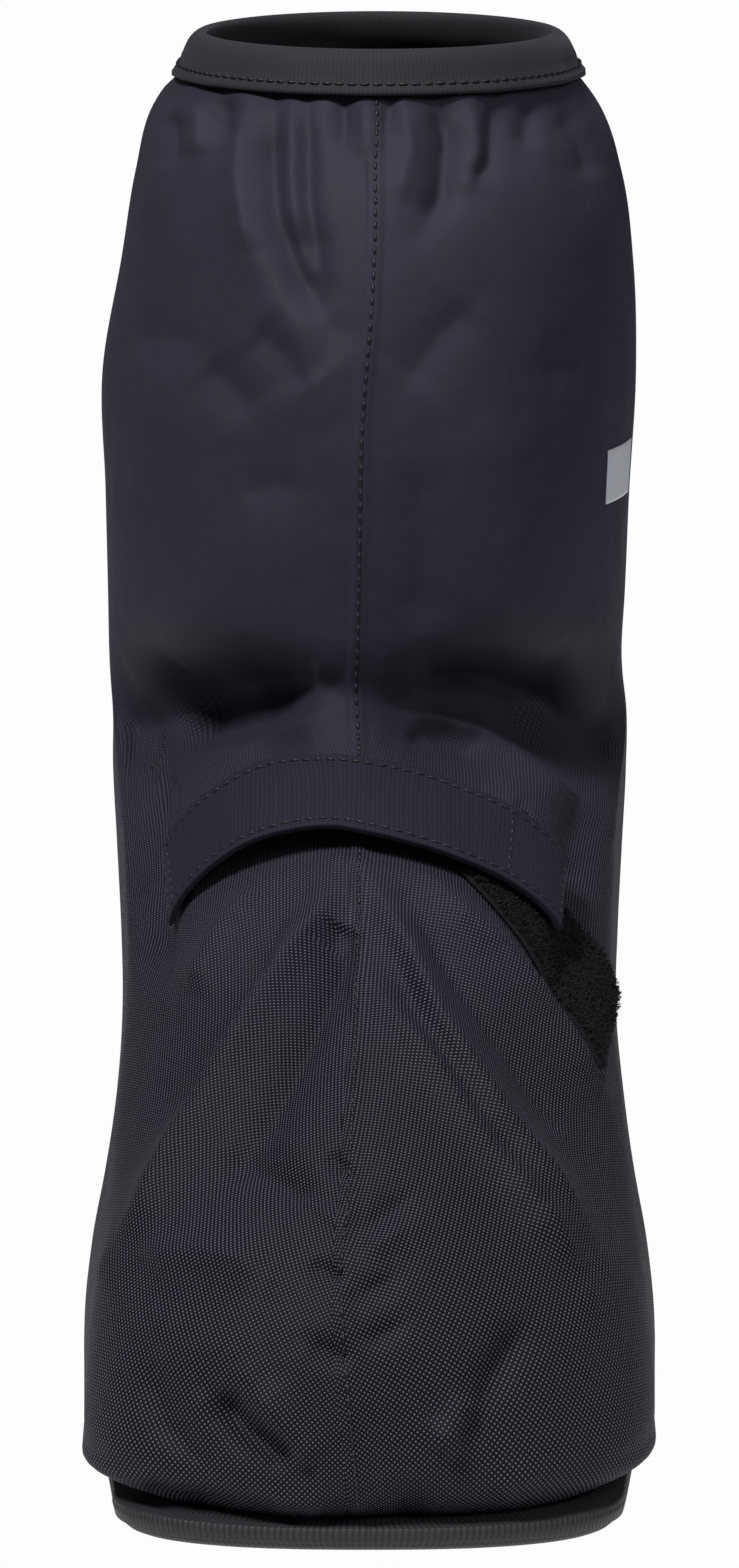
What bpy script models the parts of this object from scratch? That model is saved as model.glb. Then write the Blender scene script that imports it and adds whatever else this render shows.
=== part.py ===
"""Cycling rain gaiter for a left shoe: a fabric shell from toe to mid calf, standing empty on its sole.

The toe points to -Y, the outer side of the foot is +X, and the floor is z = 0. Sizes are in metres.
The shell is a loft of closed rings. A ring starts at the front seam and runs round the heel and back, and the
rings climb from the sole's rim over the instep to the collar. Folds, seams and everything sewn on the shell
take their places from the same rings.
"""

import math
from collections import namedtuple

import bmesh
import bpy
import numpy as np

# Foot
FOOT_LENGTH = 0.292
BALL_WIDTH = 0.1174
ANKLE_HEIGHT = 0.144

# Shaft
SHAFT_WIDTH = 0.115
SHAFT_DEPTH = 0.146
SHAFT_LEAN = 0.0022
HEEL_TO_SHAFT_AXIS = 0.075
SHELL_HEIGHT = 0.2815

# Collar
COLLAR_WIDTH = 0.0846
COLLAR_DEPTH = 0.1011
COLLAR_TAPER = 0.0028
BAND_LAP = 0.0068
BAND_RISE = 0.0022
BAND_THICKNESS = 0.0012
BAND_LIP = 0.0006
BAND_LIP_HEIGHT = 0.0012
BAND_ROUND = 0.0007

# Cloth
SHELL_WALL = 0.0014
SEWN_GAP = 0.0003
SEAM_WELT = 0.0006
SEAM_WELT_WIDTH = 0.0032
SEAM_WELT_SLOPE = 0.0007
SEAM_WELT_FADE = 0.02

# Sole
TOE_OVERHANG = 0.0040
SIDE_OVERHANG = 0.0047
SOLE_SIDE = 0.0064
SOLE_RIM_HEIGHT = 0.0086
SOLE_RIM_WIDTH = 0.0030
SOLE_LEDGE = 0.0034
SOLE_FLOOR = 0.0026
SOLE_EDGE_ROUND = 0.0016
TOE_SPRING = 0.0030
ARCH_RISE = 0.0020

# Instep strap with its hook and loop
STRAP_WIDTH = 0.0245
STRAP_THICKNESS = 0.0016
STRAP_MEDIAL_REACH = 0.063
STRAP_LATERAL_REACH = 0.060
STRAP_LIFT = 0.0040
HOOK_LENGTH = 0.0190
HOOK_INSET = 0.0018
HOOK_THICKNESS = 0.0010
LOOP_LIFT = 0.0008
LOOP_THICKNESS = 0.0012
LOOP_WIDTH = 0.024
LOOP_LENGTH = 0.104
LOOP_INSET = 0.006
LOOP_TUCK = 0.032
LOOP_SLANT_DEG = 39

# How finely the solids are cut
SHELL_RINGS = 34
SHELL_COLUMNS = 25
SOLE_COLUMNS = 34
STRAP_STEPS = 26
STRAP_STRIPS = 4
LOOP_STEPS = 22
SKIN_LEVELS = 236
SKIN_TURNS = 181
RING_POINTS = 240

# An sRGB colour, a roughness and a metallic value for each material.
MATERIALS = {
    "shell_fabric": ("1f2029", 0.62, 0.0),
    "collar_elastic": ("26272c", 0.72, 0.0),
    "strap_webbing": ("20212a", 0.66, 0.0),
    "hook_and_loop": ("0c0c0f", 0.9, 0.0),
    "sole_rubberised_fabric": ("17171b", 0.8, 0.0),
}

# The outline of a ring seen from above. Toe, ball, waist and heel are half widths at stations along its length, with
# the waist apart for the inner and the outer side. Round is how much of the length the rounding of an end takes, at
# the toe on each side and at the heel. Keen is how pointed the toe is: 2 is an ellipse, and less makes a ridge.
Plan = namedtuple("Plan", "toe ball waist_in waist_out heel round_in round_out round_heel keen")
STATIONS = (0.0, 0.12, 0.33, 0.60, 0.85, 1.0)
ELLIPSE_ROUND = 0.5
ELLIPSE_KEEN = 2.0

# The sole's outline, with half widths as shares of half its width.
SOLE_PLAN = Plan(0.92, 1.0, 0.78, 0.86, 0.765, 0.12, 0.13, 0.16, 2.4)

# The sole's underside: it is flat but for the toe, up to a share of the length, and the arch between two shares.
TOE_SPRING_END = 0.17
ARCH_START = 0.42
ARCH_END = 0.72

# A row is one ring of the foot. Level runs from 0 at the sole's rim to 1 at the collar. Front, back and their heights
# are the ring's two ends on the seams: lengths are shares of the foot's length and heights of the ankle's height.
# The plan's half widths and the place of the front seam are shares of half the ball's width.
FootRing = namedtuple("FootRing", "level front front_up back back_up seam plan")
FOOT_RINGS = (
    FootRing(0.014, 0.012, 0.084, 0.990, 0.086, -0.075, Plan(0.95, 0.965, 0.77, 0.83, 0.76, 0.14, 0.17, 0.17, 2.2)),
    FootRing(0.036, 0.002, 0.120, 0.998, 0.130, -0.080, Plan(0.97, 0.995, 0.83, 0.88, 0.84, 0.15, 0.18, 0.17, 2.2)),
    FootRing(0.070, 0.000, 0.190, 1.003, 0.230, -0.095, Plan(0.96, 1.000, 0.88, 0.93, 0.89, 0.17, 0.20, 0.17, 2.1)),
    FootRing(0.110, 0.010, 0.285, 1.005, 0.350, -0.115, Plan(0.93, 0.975, 0.90, 0.93, 0.90, 0.20, 0.23, 0.17, 2.0)),
    FootRing(0.155, 0.036, 0.375, 1.005, 0.460, -0.130, Plan(0.87, 0.930, 0.90, 0.92, 0.91, 0.25, 0.28, 0.18, 1.9)),
    FootRing(0.215, 0.090, 0.470, 1.003, 0.560, -0.110, Plan(0.83, 0.890, 0.90, 0.90, 0.92, 0.31, 0.34, 0.20, 1.8)),
    FootRing(0.300, 0.178, 0.590, 1.000, 0.660, -0.090, Plan(0.80, 0.860, 0.91, 0.91, 0.93, 0.36, 0.38, 0.25, 1.7)),
    FootRing(0.400, 0.286, 0.718, 0.998, 0.770, -0.075, Plan(0.80, 0.860, 0.93, 0.93, 0.94, 0.40, 0.40, 0.32, 1.6)),
    FootRing(0.500, 0.394, 0.845, 0.996, 0.870, -0.070, Plan(0.82, 0.890, 0.95, 0.95, 0.95, 0.42, 0.42, 0.40, 1.65)),
    FootRing(0.575, 0.474, 0.940, 0.994, 0.950, -0.070, Plan(0.88, 0.930, 0.955, 0.955, 0.95, 0.45, 0.45, 0.46, 1.8)),
)
# Levels cut close together where the shell turns out over the sole
HEM_LEVELS = (0.0, 0.010, 0.022, 0.040)
HEM_SEAM = -0.07

# A row is one ring of the shaft. Up is a share of the shell's height above the ankle, ahead and behind are shares of
# the shaft's depth from its axis, wide is a share of half its width, and lean is how far it leans outwards.
ShaftRing = namedtuple("ShaftRing", "level up ahead behind wide seam lean")
SHAFT_RINGS = (
    ShaftRing(0.625, 0.035, 0.468, 0.500, 0.965, -0.070, -0.4),
    ShaftRing(0.670, 0.135, 0.480, 0.498, 0.972, -0.068, -0.3),
    ShaftRing(0.740, 0.300, 0.510, 0.492, 0.982, -0.064, -0.2),
    ShaftRing(0.810, 0.490, 0.520, 0.480, 0.997, -0.060, 0.0),
    ShaftRing(0.870, 0.660, 0.500, 0.455, 0.955, -0.056, 0.8),
    ShaftRing(0.920, 0.800, 0.450, 0.415, 0.902, -0.052, 1.0),
    ShaftRing(0.952, 0.890, 0.390, 0.370, 0.835, -0.050, 0.9),
)
NECK_LEVELS = (0.974, 1.0)
NECK_LEAN = 0.9
NECK_SEAM = -0.048

# A row is a soft trough pressed into the shell from one point to another. Around is the distance from the front
# seam, as a share of the shaft's width and positive on the outer side, and up is a level. Depth is a share of the
# shaft's depth. Spread is how wide it is to each side, as a share of the shaft's width. Back is 1 where the cloth is
# pushed straight back and 0 where it is pushed in.
Trough = namedtuple("Trough", "around_from up_from around_to up_to spread depth back")
TROUGHS = (
    Trough(-0.20, 0.606, -0.46, 0.600, 0.120, 0.105, 1),
    Trough(0.20, 0.604, 0.46, 0.598, 0.120, 0.100, 1),
    Trough(-0.60, 0.560, -0.64, 0.380, 0.110, 0.030, 0),
    Trough(0.60, 0.560, 0.64, 0.360, 0.110, 0.030, 0),
)

# The strap's middle line climbs from its inner end to this level on the seam and drops again by this much. It rests
# on the shell at its inner end, bridges the instep, and lies on the hook and loop from this share of its run on.
STRAP_LEVEL = 0.540
STRAP_DROP = 0.108
STRAP_BEND = 1.5
STRAP_LANDS = 0.72
STRAP_CLIMBS = (0.25, 0.65)


def cleared_scene():
    """Removes what the scene held and gives the collection for the gaiter's pieces."""
    for old in list(bpy.data.objects):
        bpy.data.objects.remove(old, do_unlink=True)
    pieces = bpy.data.collections.new("cycling_rain_gaiter")
    bpy.context.scene.collection.children.link(pieces)
    return pieces


def linear_colour(hex_colour):
    """An sRGB hex value as linear red, green, blue and alpha."""
    channels = [int(hex_colour[i : i + 2], 16) / 255 for i in (0, 2, 4)]
    return [c / 12.92 if c <= 0.04045 else ((c + 0.055) / 1.055) ** 2.4 for c in channels] + [1.0]


def finish(name):
    """The material of that name, made on first use."""
    known = bpy.data.materials.get(name)
    if known:
        return known
    colour, roughness, metallic = MATERIALS[name]
    made = bpy.data.materials.new(name)
    made.use_nodes = True
    shader = made.node_tree.nodes["Principled BSDF"]
    shader.inputs["Base Color"].default_value = linear_colour(colour)
    shader.inputs["Roughness"].default_value = roughness
    shader.inputs["Metallic"].default_value = metallic
    return made


def add_piece(pieces, name, points, faces, material):
    """One named mesh object from points behind the toe, moved so that the origin is under the foot's middle."""
    moved = np.array(points, float)
    moved[:, 1] -= FOOT_LENGTH / 2
    mesh = bpy.data.meshes.new(name)
    mesh.from_pydata(moved.tolist(), [], faces)
    mesh.shade_smooth()
    mesh.set_sharp_from_angle(angle=math.radians(35))
    mesh.materials.append(finish(material))
    piece = bpy.data.objects.new(name, mesh)
    pieces.objects.link(piece)
    return piece


def close_piece(piece):
    """Joins the points that meet at the ends of a closed piece and turns its faces outwards."""
    body = bmesh.new()
    body.from_mesh(piece.data)
    bmesh.ops.remove_doubles(body, verts=body.verts, dist=1e-6)
    bmesh.ops.recalc_face_normals(body, faces=body.faces)
    body.to_mesh(piece.data)
    body.free()


def thicken(piece, thickness):
    """Gives an outer face its thickness, inwards."""
    wall = piece.modifiers.new("wall", "SOLIDIFY")
    wall.thickness = thickness
    wall.offset = -1.0
    wall.use_rim = True


def ring_faces(rings, columns, closed=True):
    """Quads between rows of points that are stored one after another, closed into rings or left as a sheet."""
    faces = []
    for ring in range(rings - 1):
        low, high = ring * columns, (ring + 1) * columns
        for column in range(columns if closed else columns - 1):
            beside = (column + 1) % columns
            faces.append((low + column, low + beside, high + beside, high + column))
    return faces


def eased(rows, level):
    """Each column of a table of rows at a level, on a smooth curve through the rows."""
    table = np.array(rows, float)
    knots, values = table[:, 0], table[:, 1:]
    slopes = np.gradient(values, knots, axis=0)
    level = min(max(level, knots[0]), knots[-1])
    i = int(np.clip(np.searchsorted(knots, level) - 1, 0, len(knots) - 2))
    step = knots[i + 1] - knots[i]
    t = (level - knots[i]) / step
    return (
        (2 * t**3 - 3 * t**2 + 1) * values[i]
        + (t**3 - 2 * t**2 + t) * step * slopes[i]
        + (3 * t**2 - 2 * t**3) * values[i + 1]
        + (t**3 - t**2) * step * slopes[i + 1]
    )


def half_width(plan, along, side):
    """Half width of an outline at shares of its length, on the inner side, -1, or the outer side, 1."""
    waist, toe_round = (plan.waist_in, plan.round_in) if side < 0 else (plan.waist_out, plan.round_out)
    half = np.interp(along, STATIONS, (plan.toe, plan.toe, plan.ball, waist, plan.heel, plan.heel))
    ahead = np.clip(1 - along / toe_round, 0.0, 1.0)
    behind = np.clip(1 - (1 - along) / plan.round_heel, 0.0, 1.0)
    heel_keen = max(plan.keen, ELLIPSE_KEEN)
    return half * (1 - ahead**plan.keen) ** (1 / plan.keen) * (1 - behind**heel_keen) ** (1 / heel_keen)


def sole_plan(inset):
    """The sole's outline, drawn in by an inset."""
    half = BALL_WIDTH / 2 - SIDE_OVERHANG
    widths = [share * half - inset for share in SOLE_PLAN[:5]]
    return Plan(*widths, *SOLE_PLAN[5:])


def sole_outline(inset, count):
    """Points round the sole from the toe's tip over the outer side to the heel, then back over the inner side."""
    share = (1 - np.cos(np.linspace(0.0, math.pi, count))) / 2
    y = TOE_OVERHANG + inset + share * (FOOT_LENGTH - 2 * TOE_OVERHANG - 2 * inset)
    outer, inner = (np.column_stack([side * half_width(sole_plan(inset), share, side), y]) for side in (1, -1))
    return np.vstack([outer, inner[-2:0:-1]])


def sole_rest(y):
    """How high the sole's underside is at a distance behind the toe: flat at ball and heel, up at toe and arch."""
    share = np.clip(y / FOOT_LENGTH, 0.0, 1.0)
    spring = TOE_SPRING * np.clip(1 - share / TOE_SPRING_END, 0.0, 1.0) ** 2
    arch = np.clip((share - ARCH_START) / (ARCH_END - ARCH_START), 0.0, 1.0)
    return spring + ARCH_RISE * np.sin(math.pi * arch)


def ring_rows():
    """All rings of the shell as one table: level, lengths behind the toe, heights, seam, lean and plan."""
    half_ball, half_shaft = BALL_WIDTH / 2, SHAFT_WIDTH / 2
    seat = SOLE_LEDGE + (SOLE_RIM_WIDTH - SHELL_WALL) / 2
    hem = SOLE_RIM_HEIGHT + SEWN_GAP
    toe, heel = TOE_OVERHANG + seat, FOOT_LENGTH - TOE_OVERHANG - seat
    rows = [(0.0, toe, hem, heel, hem, HEM_SEAM * half_ball, 0.0, *sole_plan(seat))]
    for r in FOOT_RINGS:
        ends = (r.front * FOOT_LENGTH, r.front_up * ANKLE_HEIGHT, r.back * FOOT_LENGTH, r.back_up * ANKLE_HEIGHT)
        widths = [share * half_ball for share in r.plan[:5]]
        rows.append((r.level, *ends, r.seam * half_ball, 0.0, *widths, *r.plan[5:]))
    axis = FOOT_LENGTH - HEEL_TO_SHAFT_AXIS
    rise = SHELL_HEIGHT - ANKLE_HEIGHT
    ellipse = (ELLIPSE_ROUND,) * 3 + (ELLIPSE_KEEN,)
    for r in SHAFT_RINGS:
        up = ANKLE_HEIGHT + r.up * rise
        ends = (axis - r.ahead * SHAFT_DEPTH, up, axis + r.behind * SHAFT_DEPTH, up)
        widths = (r.wide * half_shaft,) * 5
        rows.append((r.level, *ends, r.seam * half_shaft, r.lean * SHAFT_LEAN, *widths, *ellipse))
    for level, up, taper in zip(NECK_LEVELS, (SHELL_HEIGHT - BAND_LAP, SHELL_HEIGHT), (0.0, COLLAR_TAPER)):
        half_depth = COLLAR_DEPTH / 2 - taper
        widths = (COLLAR_WIDTH / 2 - taper,) * 5
        ends = (axis - half_depth, up, axis + half_depth, up)
        rows.append((level, *ends, NECK_SEAM * half_shaft, NECK_LEAN * SHAFT_LEAN, *widths, *ellipse))
    return rows


def shell_ring(rows, level, shares):
    """Points of the ring at a level, and how far each lies from the front seam. A share is 0 there, 1 or -1 behind."""
    front, front_up, back, back_up, seam, lean, *plan = eased(rows, level)
    plan = Plan(*plan)
    turn = np.linspace(-math.pi, math.pi, 2 * RING_POINTS + 1)
    along = (1 - np.cos(turn)) / 2
    x = lean + np.where(turn < 0, -half_width(plan, along, -1), half_width(plan, along, 1))
    ring = np.column_stack([x, front + along * (back - front), front_up + (back_up - front_up) * along])
    walked = np.concatenate([[0.0], np.cumsum(np.linalg.norm(np.diff(ring, axis=0), axis=1))])
    walked -= np.interp(0.0, turn, walked)
    reach = np.where(shares < 0, seam - walked[0], walked[-1] - seam)
    at = seam + shares * reach
    placed = np.column_stack([np.interp(at, walked, ring[:, k]) for k in range(3)])
    return placed, shares * reach


def trough_depth(around, levels, trough, front_length):
    """How far a trough moves the shell at each point."""
    start = np.array([trough.around_from * SHAFT_WIDTH, trough.up_from * front_length])
    run = np.array([trough.around_to * SHAFT_WIDTH, trough.up_to * front_length]) - start
    point = np.stack([around, levels * front_length], axis=-1) - start
    share = np.clip(point @ run / (run @ run), 0.0, 1.0)
    away = np.linalg.norm(point - share[..., None] * run, axis=-1)
    return trough.depth * SHAFT_DEPTH * np.exp(-((away / (trough.spread * SHAFT_WIDTH)) ** 2))


def seam_welt(around, level):
    """Height of the folded seam allowance that is topstitched down on the outer side of the front seam."""
    rise = min(max(around / SEAM_WELT_SLOPE, 0.0), 1.0)
    fall = min(max((SEAM_WELT_WIDTH + SEAM_WELT_SLOPE - around) / SEAM_WELT_SLOPE, 0.0), 1.0)
    ends = min(max(min(level, NECK_LEVELS[0] - level) / SEAM_WELT_FADE, 0.0), 1.0)
    return SEAM_WELT * min(rise, fall) * ends


class Skin:
    """The shell's outer face on a fine grid, from which pieces are cut by level and by distance from the seam."""

    def __init__(self):
        rows = ring_rows()
        self.levels = np.linspace(0.0, 1.0, SKIN_LEVELS)
        self.shares = np.linspace(-1.0, 1.0, 2 * SKIN_TURNS - 1)
        rings = [shell_ring(rows, level, self.shares) for level in self.levels]
        points = np.array([r[0] for r in rings])
        self.around = np.array([r[1] for r in rings])
        seam = points[:, SKIN_TURNS - 1]
        self.front_length = float(np.linalg.norm(np.diff(seam, axis=0), axis=1).sum())
        inward = -self.outward(points)
        levels = np.repeat(self.levels[:, None], len(self.shares), axis=1)
        for trough in TROUGHS:
            push = np.array([0.0, 1.0, 0.0]) if trough.back else inward
            points = points + push * trough_depth(self.around, levels, trough, self.front_length)[..., None]
        self.points = points
        self.normals = self.outward(points)

    @staticmethod
    def outward(points):
        """Unit normals of a grid of points, pointing out of the shell."""
        wrapped = np.concatenate([points[:, -2:-1], points, points[:, 1:2]], axis=1)
        across = (wrapped[:, 2:] - wrapped[:, :-2]) / 2
        up = np.gradient(points, axis=0)
        normal = np.cross(across, up)
        return normal / np.linalg.norm(normal, axis=-1, keepdims=True)

    def at(self, share, level, lift=0.0):
        """The point at a share round the ring and a level, lifted off the shell's face."""
        column = (share + 1) / 2 * (len(self.shares) - 1)
        row = np.clip(level, 0.0, 1.0) * (len(self.levels) - 1)
        i = min(int(row), len(self.levels) - 2)
        j = min(int(column), len(self.shares) - 2)
        a, b = row - i, column - j
        weights = ((1 - a) * (1 - b), (1 - a) * b, a * (1 - b), a * b)
        corners = ((i, j), (i, j + 1), (i + 1, j), (i + 1, j + 1))
        point = sum(w * self.points[c] for w, c in zip(weights, corners))
        normal = sum(w * self.normals[c] for w, c in zip(weights, corners))
        return point + lift * normal / np.linalg.norm(normal)

    def share_at(self, around, level):
        """The share round the ring that lies a distance from the front seam."""
        i = int(round(np.clip(level, 0.0, 1.0) * (len(self.levels) - 1)))
        return float(np.interp(around, self.around[i], self.shares))

    def beside_seam(self, around, level, lift):
        """The point at a distance from the front seam and a level, lifted off the shell's face."""
        return self.at(self.share_at(around, level), level, lift)


def shell_columns(skin, level):
    """Where the shell's columns lie on a ring: close together on the seam's welt, and even elsewhere."""
    edges = (0.0, SEAM_WELT_SLOPE, SEAM_WELT_WIDTH, SEAM_WELT_WIDTH + SEAM_WELT_SLOPE)
    welt = [skin.share_at(edge, level) for edge in edges]
    outer = np.linspace(welt[-1], 1.0, SHELL_COLUMNS + 1)[1:]
    inner = np.linspace(-1.0, 0.0, SHELL_COLUMNS + 2)[1:-1]
    return [*welt, *outer, *inner], [*edges, *(math.inf,) * (len(outer) + len(inner))]


def skin_ring(skin, level, lift=0.0):
    """Points of the shell's own columns at a level."""
    return np.array([skin.at(share, level, lift) for share in shell_columns(skin, level)[0]])


def make_upper(pieces, skin):
    """The shell as one sheet with its real wall, open at the collar and where the sole closes it."""
    rings = np.linspace(HEM_LEVELS[-1], NECK_LEVELS[0], SHELL_RINGS)
    levels = np.concatenate([HEM_LEVELS[:-1], rings, NECK_LEVELS[1:]])
    points = []
    for level in levels:
        shares, edges = shell_columns(skin, level)
        for share, edge in zip(shares, edges):
            points.append(skin.at(share, level, seam_welt(edge, level)))
    columns = len(points) // len(levels)
    upper = add_piece(pieces, "upper", points, ring_faces(len(levels), columns), "shell_fabric")
    thicken(upper, SHELL_WALL)


def make_collar_band(pieces, skin):
    """The elastic binding folded over the shell's top edge, with a stitched lip along its lower edge."""
    inner_face, inner_back = -(SHELL_WALL + SEWN_GAP), -(SHELL_WALL + SEWN_GAP + BAND_THICKNESS)
    outer_back, outer_face = SEWN_GAP, SEWN_GAP + BAND_THICKNESS
    profile = (
        (outer_back, -BAND_LAP),
        (outer_face + BAND_LIP, -BAND_LAP),
        (outer_face + BAND_LIP, BAND_LIP_HEIGHT - BAND_LAP),
        (outer_face, BAND_LIP_HEIGHT + BAND_LIP - BAND_LAP),
        (outer_face, BAND_RISE - BAND_ROUND),
        (outer_face - BAND_ROUND, BAND_RISE),
        (inner_back + BAND_ROUND, BAND_RISE),
        (inner_back, BAND_RISE - BAND_ROUND),
        (inner_back, -BAND_LAP),
        (inner_face, -BAND_LAP),
        (inner_face, SEWN_GAP),
        (outer_back, SEWN_GAP),
        (outer_back, -BAND_LAP),
    )
    low, high = (skin_ring(skin, level) for level in NECK_LEVELS)
    outward = skin_ring(skin, NECK_LEVELS[1], lift=1.0) - high
    outward[:, 2] = 0.0
    outward /= np.linalg.norm(outward, axis=1, keepdims=True)
    rings = [low + (high - low) * (1 + up / BAND_LAP) + outward * out for out, up in profile]
    faces = ring_faces(len(rings), len(low))
    close_piece(add_piece(pieces, "collar_band", np.concatenate(rings), faces, "collar_elastic"))


def make_sole(pieces):
    """The sole as a shallow tray: flat tread, upright side, sloping ledge and a rim that the shell is sewn to."""
    profile = (
        (SOLE_LEDGE + SOLE_RIM_WIDTH, SOLE_FLOOR),
        (SOLE_LEDGE + SOLE_RIM_WIDTH, SOLE_RIM_HEIGHT),
        (SOLE_LEDGE, SOLE_RIM_HEIGHT),
        (0.0, SOLE_SIDE),
        (0.0, SOLE_EDGE_ROUND),
        (SOLE_EDGE_ROUND / 2, SOLE_EDGE_ROUND / 4),
        (SOLE_EDGE_ROUND * 1.5, 0.0),
    )
    rings = []
    for inset, up in profile:
        outline = sole_outline(inset, SOLE_COLUMNS)
        height = up + sole_rest(outline[:, 1]) * (1 - up / SOLE_RIM_HEIGHT)
        rings.append(np.column_stack([outline, height]))
    columns = len(rings[0])
    faces = ring_faces(len(rings), columns)
    for first in (0, (len(rings) - 1) * columns):
        for k in range(SOLE_COLUMNS - 1):
            across, beside = (columns - k) % columns, (columns - k - 1) % columns
            corners = (first + k, first + k + 1, first + beside, first + across)
            faces.append(tuple(dict.fromkeys(corners)))
    close_piece(add_piece(pieces, "sole", np.concatenate(rings), faces, "sole_rubberised_fabric"))


def strap_strip(pieces, name, skin, start, end, edge, seat, thickness, material):
    """A strip along the strap's run, from start to end in metres past its inner end. Seat gives its lift by share."""
    reach = STRAP_MEDIAL_REACH + STRAP_LATERAL_REACH
    half = (STRAP_WIDTH / 2 - edge) / skin.front_length
    points = []
    for run in np.linspace(start, end, STRAP_STEPS):
        share = run / reach
        middle = STRAP_LEVEL - STRAP_DROP * abs(2 * share - 1) ** STRAP_BEND
        for across in np.linspace(half, -half, STRAP_STRIPS + 1):
            lift = seat(share) + thickness
            points.append(skin.beside_seam(run - STRAP_MEDIAL_REACH, middle + across, lift))
    faces = ring_faces(STRAP_STEPS, STRAP_STRIPS + 1, closed=False)
    thicken(add_piece(pieces, name, points, faces, material), thickness)


def make_instep_strap(pieces, skin):
    """The strap over the instep, sewn down at its inner end, and the hook patch under its outer end."""
    reach = STRAP_MEDIAL_REACH + STRAP_LATERAL_REACH
    hook_seat = LOOP_LIFT + LOOP_THICKNESS + SEWN_GAP
    closed_seat = hook_seat + HOOK_THICKNESS + SEWN_GAP

    def strap_seat(share):
        climb = np.interp(share, STRAP_CLIMBS, (LOOP_LIFT, closed_seat))
        return climb + STRAP_LIFT * math.sin(math.pi * min(share / STRAP_LANDS, 1.0)) ** 2

    strap_strip(pieces, "instep_strap", skin, 0.0, reach, 0.0, strap_seat, STRAP_THICKNESS, "strap_webbing")
    hook_start, hook_end = reach - HOOK_INSET - HOOK_LENGTH, reach - HOOK_INSET
    strap_strip(
        pieces, "hook_patch", skin, hook_start, hook_end, HOOK_INSET, lambda share: hook_seat, HOOK_THICKNESS,
        "hook_and_loop",
    )


def make_loop_patch(pieces, skin):
    """The fuzzy strip sewn down the outer side, which the strap's hook patch closes on."""
    slant = math.radians(LOOP_SLANT_DEG)
    run = np.array([math.sin(slant), -math.cos(slant)])
    side = np.array([math.cos(slant), math.sin(slant)])
    top = np.array([STRAP_LATERAL_REACH - LOOP_INSET, (STRAP_LEVEL - STRAP_DROP) * skin.front_length])
    top -= run * LOOP_TUCK
    points = []
    for down in np.linspace(0.0, LOOP_LENGTH, LOOP_STEPS + 1):
        for across in np.linspace(LOOP_WIDTH / 2, -LOOP_WIDTH / 2, STRAP_STRIPS + 1):
            around, height = top + run * down + side * across
            points.append(skin.beside_seam(around, height / skin.front_length, LOOP_LIFT + LOOP_THICKNESS))
    faces = ring_faces(LOOP_STEPS + 1, STRAP_STRIPS + 1, closed=False)
    thicken(add_piece(pieces, "loop_patch", points, faces, "hook_and_loop"), LOOP_THICKNESS)


def build():
    """The whole gaiter."""
    pieces = cleared_scene()
    skin = Skin()
    make_sole(pieces)
    make_upper(pieces, skin)
    make_collar_band(pieces, skin)
    make_instep_strap(pieces, skin)
    make_loop_patch(pieces, skin)


build()
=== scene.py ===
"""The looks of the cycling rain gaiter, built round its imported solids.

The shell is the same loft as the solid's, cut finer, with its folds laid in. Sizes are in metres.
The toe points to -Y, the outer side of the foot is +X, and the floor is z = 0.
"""

import math
from collections import namedtuple

import bmesh
import bpy
import numpy as np
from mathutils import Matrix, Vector


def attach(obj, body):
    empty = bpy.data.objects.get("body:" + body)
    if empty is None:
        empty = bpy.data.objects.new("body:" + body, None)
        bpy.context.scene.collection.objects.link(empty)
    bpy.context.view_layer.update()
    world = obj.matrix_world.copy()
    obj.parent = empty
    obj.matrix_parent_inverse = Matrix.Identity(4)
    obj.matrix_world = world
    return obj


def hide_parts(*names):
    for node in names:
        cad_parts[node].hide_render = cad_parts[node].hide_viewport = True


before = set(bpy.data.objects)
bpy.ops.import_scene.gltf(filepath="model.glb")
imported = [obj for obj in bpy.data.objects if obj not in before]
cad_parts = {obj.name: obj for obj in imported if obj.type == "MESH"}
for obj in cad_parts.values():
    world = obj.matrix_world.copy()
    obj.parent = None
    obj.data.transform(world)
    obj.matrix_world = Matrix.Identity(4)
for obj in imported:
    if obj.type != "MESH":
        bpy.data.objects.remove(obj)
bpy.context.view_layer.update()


MM = 0.001

# Driving sizes of the gaiter. They are the solid's own.
FOOT_LENGTH = 0.292
BALL_WIDTH = 0.1174
ANKLE_HEIGHT = 0.144
SHAFT_WIDTH = 0.115
SHAFT_DEPTH = 0.146
SHAFT_LEAN = 0.0022
HEEL_TO_SHAFT_AXIS = 0.075
SHELL_HEIGHT = 0.2815
COLLAR_WIDTH = 0.0846
COLLAR_DEPTH = 0.1011
COLLAR_TAPER = 0.0028
BAND_LAP = 0.0068
BAND_RISE = 0.0022
BAND_THICKNESS = 0.0012
SHELL_WALL = 0.0014
SEWN_GAP = 0.0003
SEAM_WELT = 0.0006
SEAM_WELT_WIDTH = 0.0032
SEAM_WELT_SLOPE = 0.0007
SEAM_WELT_FADE = 0.02
TOE_OVERHANG = 0.0040
SIDE_OVERHANG = 0.0047
SOLE_SIDE = 0.0064
SOLE_RIM_HEIGHT = 0.0086
SOLE_RIM_WIDTH = 0.0030
SOLE_LEDGE = 0.0034
SOLE_FLOOR = 0.0026
TOE_SPRING = 0.0030
ARCH_RISE = 0.0020
STRAP_WIDTH = 0.0245
STRAP_THICKNESS = 0.0016
STRAP_MEDIAL_REACH = 0.063
STRAP_LATERAL_REACH = 0.060
STRAP_LIFT = 0.0040
HOOK_LENGTH = 0.0190
HOOK_INSET = 0.0018
HOOK_THICKNESS = 0.0010
LOOP_LIFT = 0.0008
LOOP_THICKNESS = 0.0012
LOOP_WIDTH = 0.024
LOOP_LENGTH = 0.104
LOOP_INSET = 0.006
LOOP_TUCK = 0.032
LOOP_SLANT_DEG = 39.0

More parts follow.
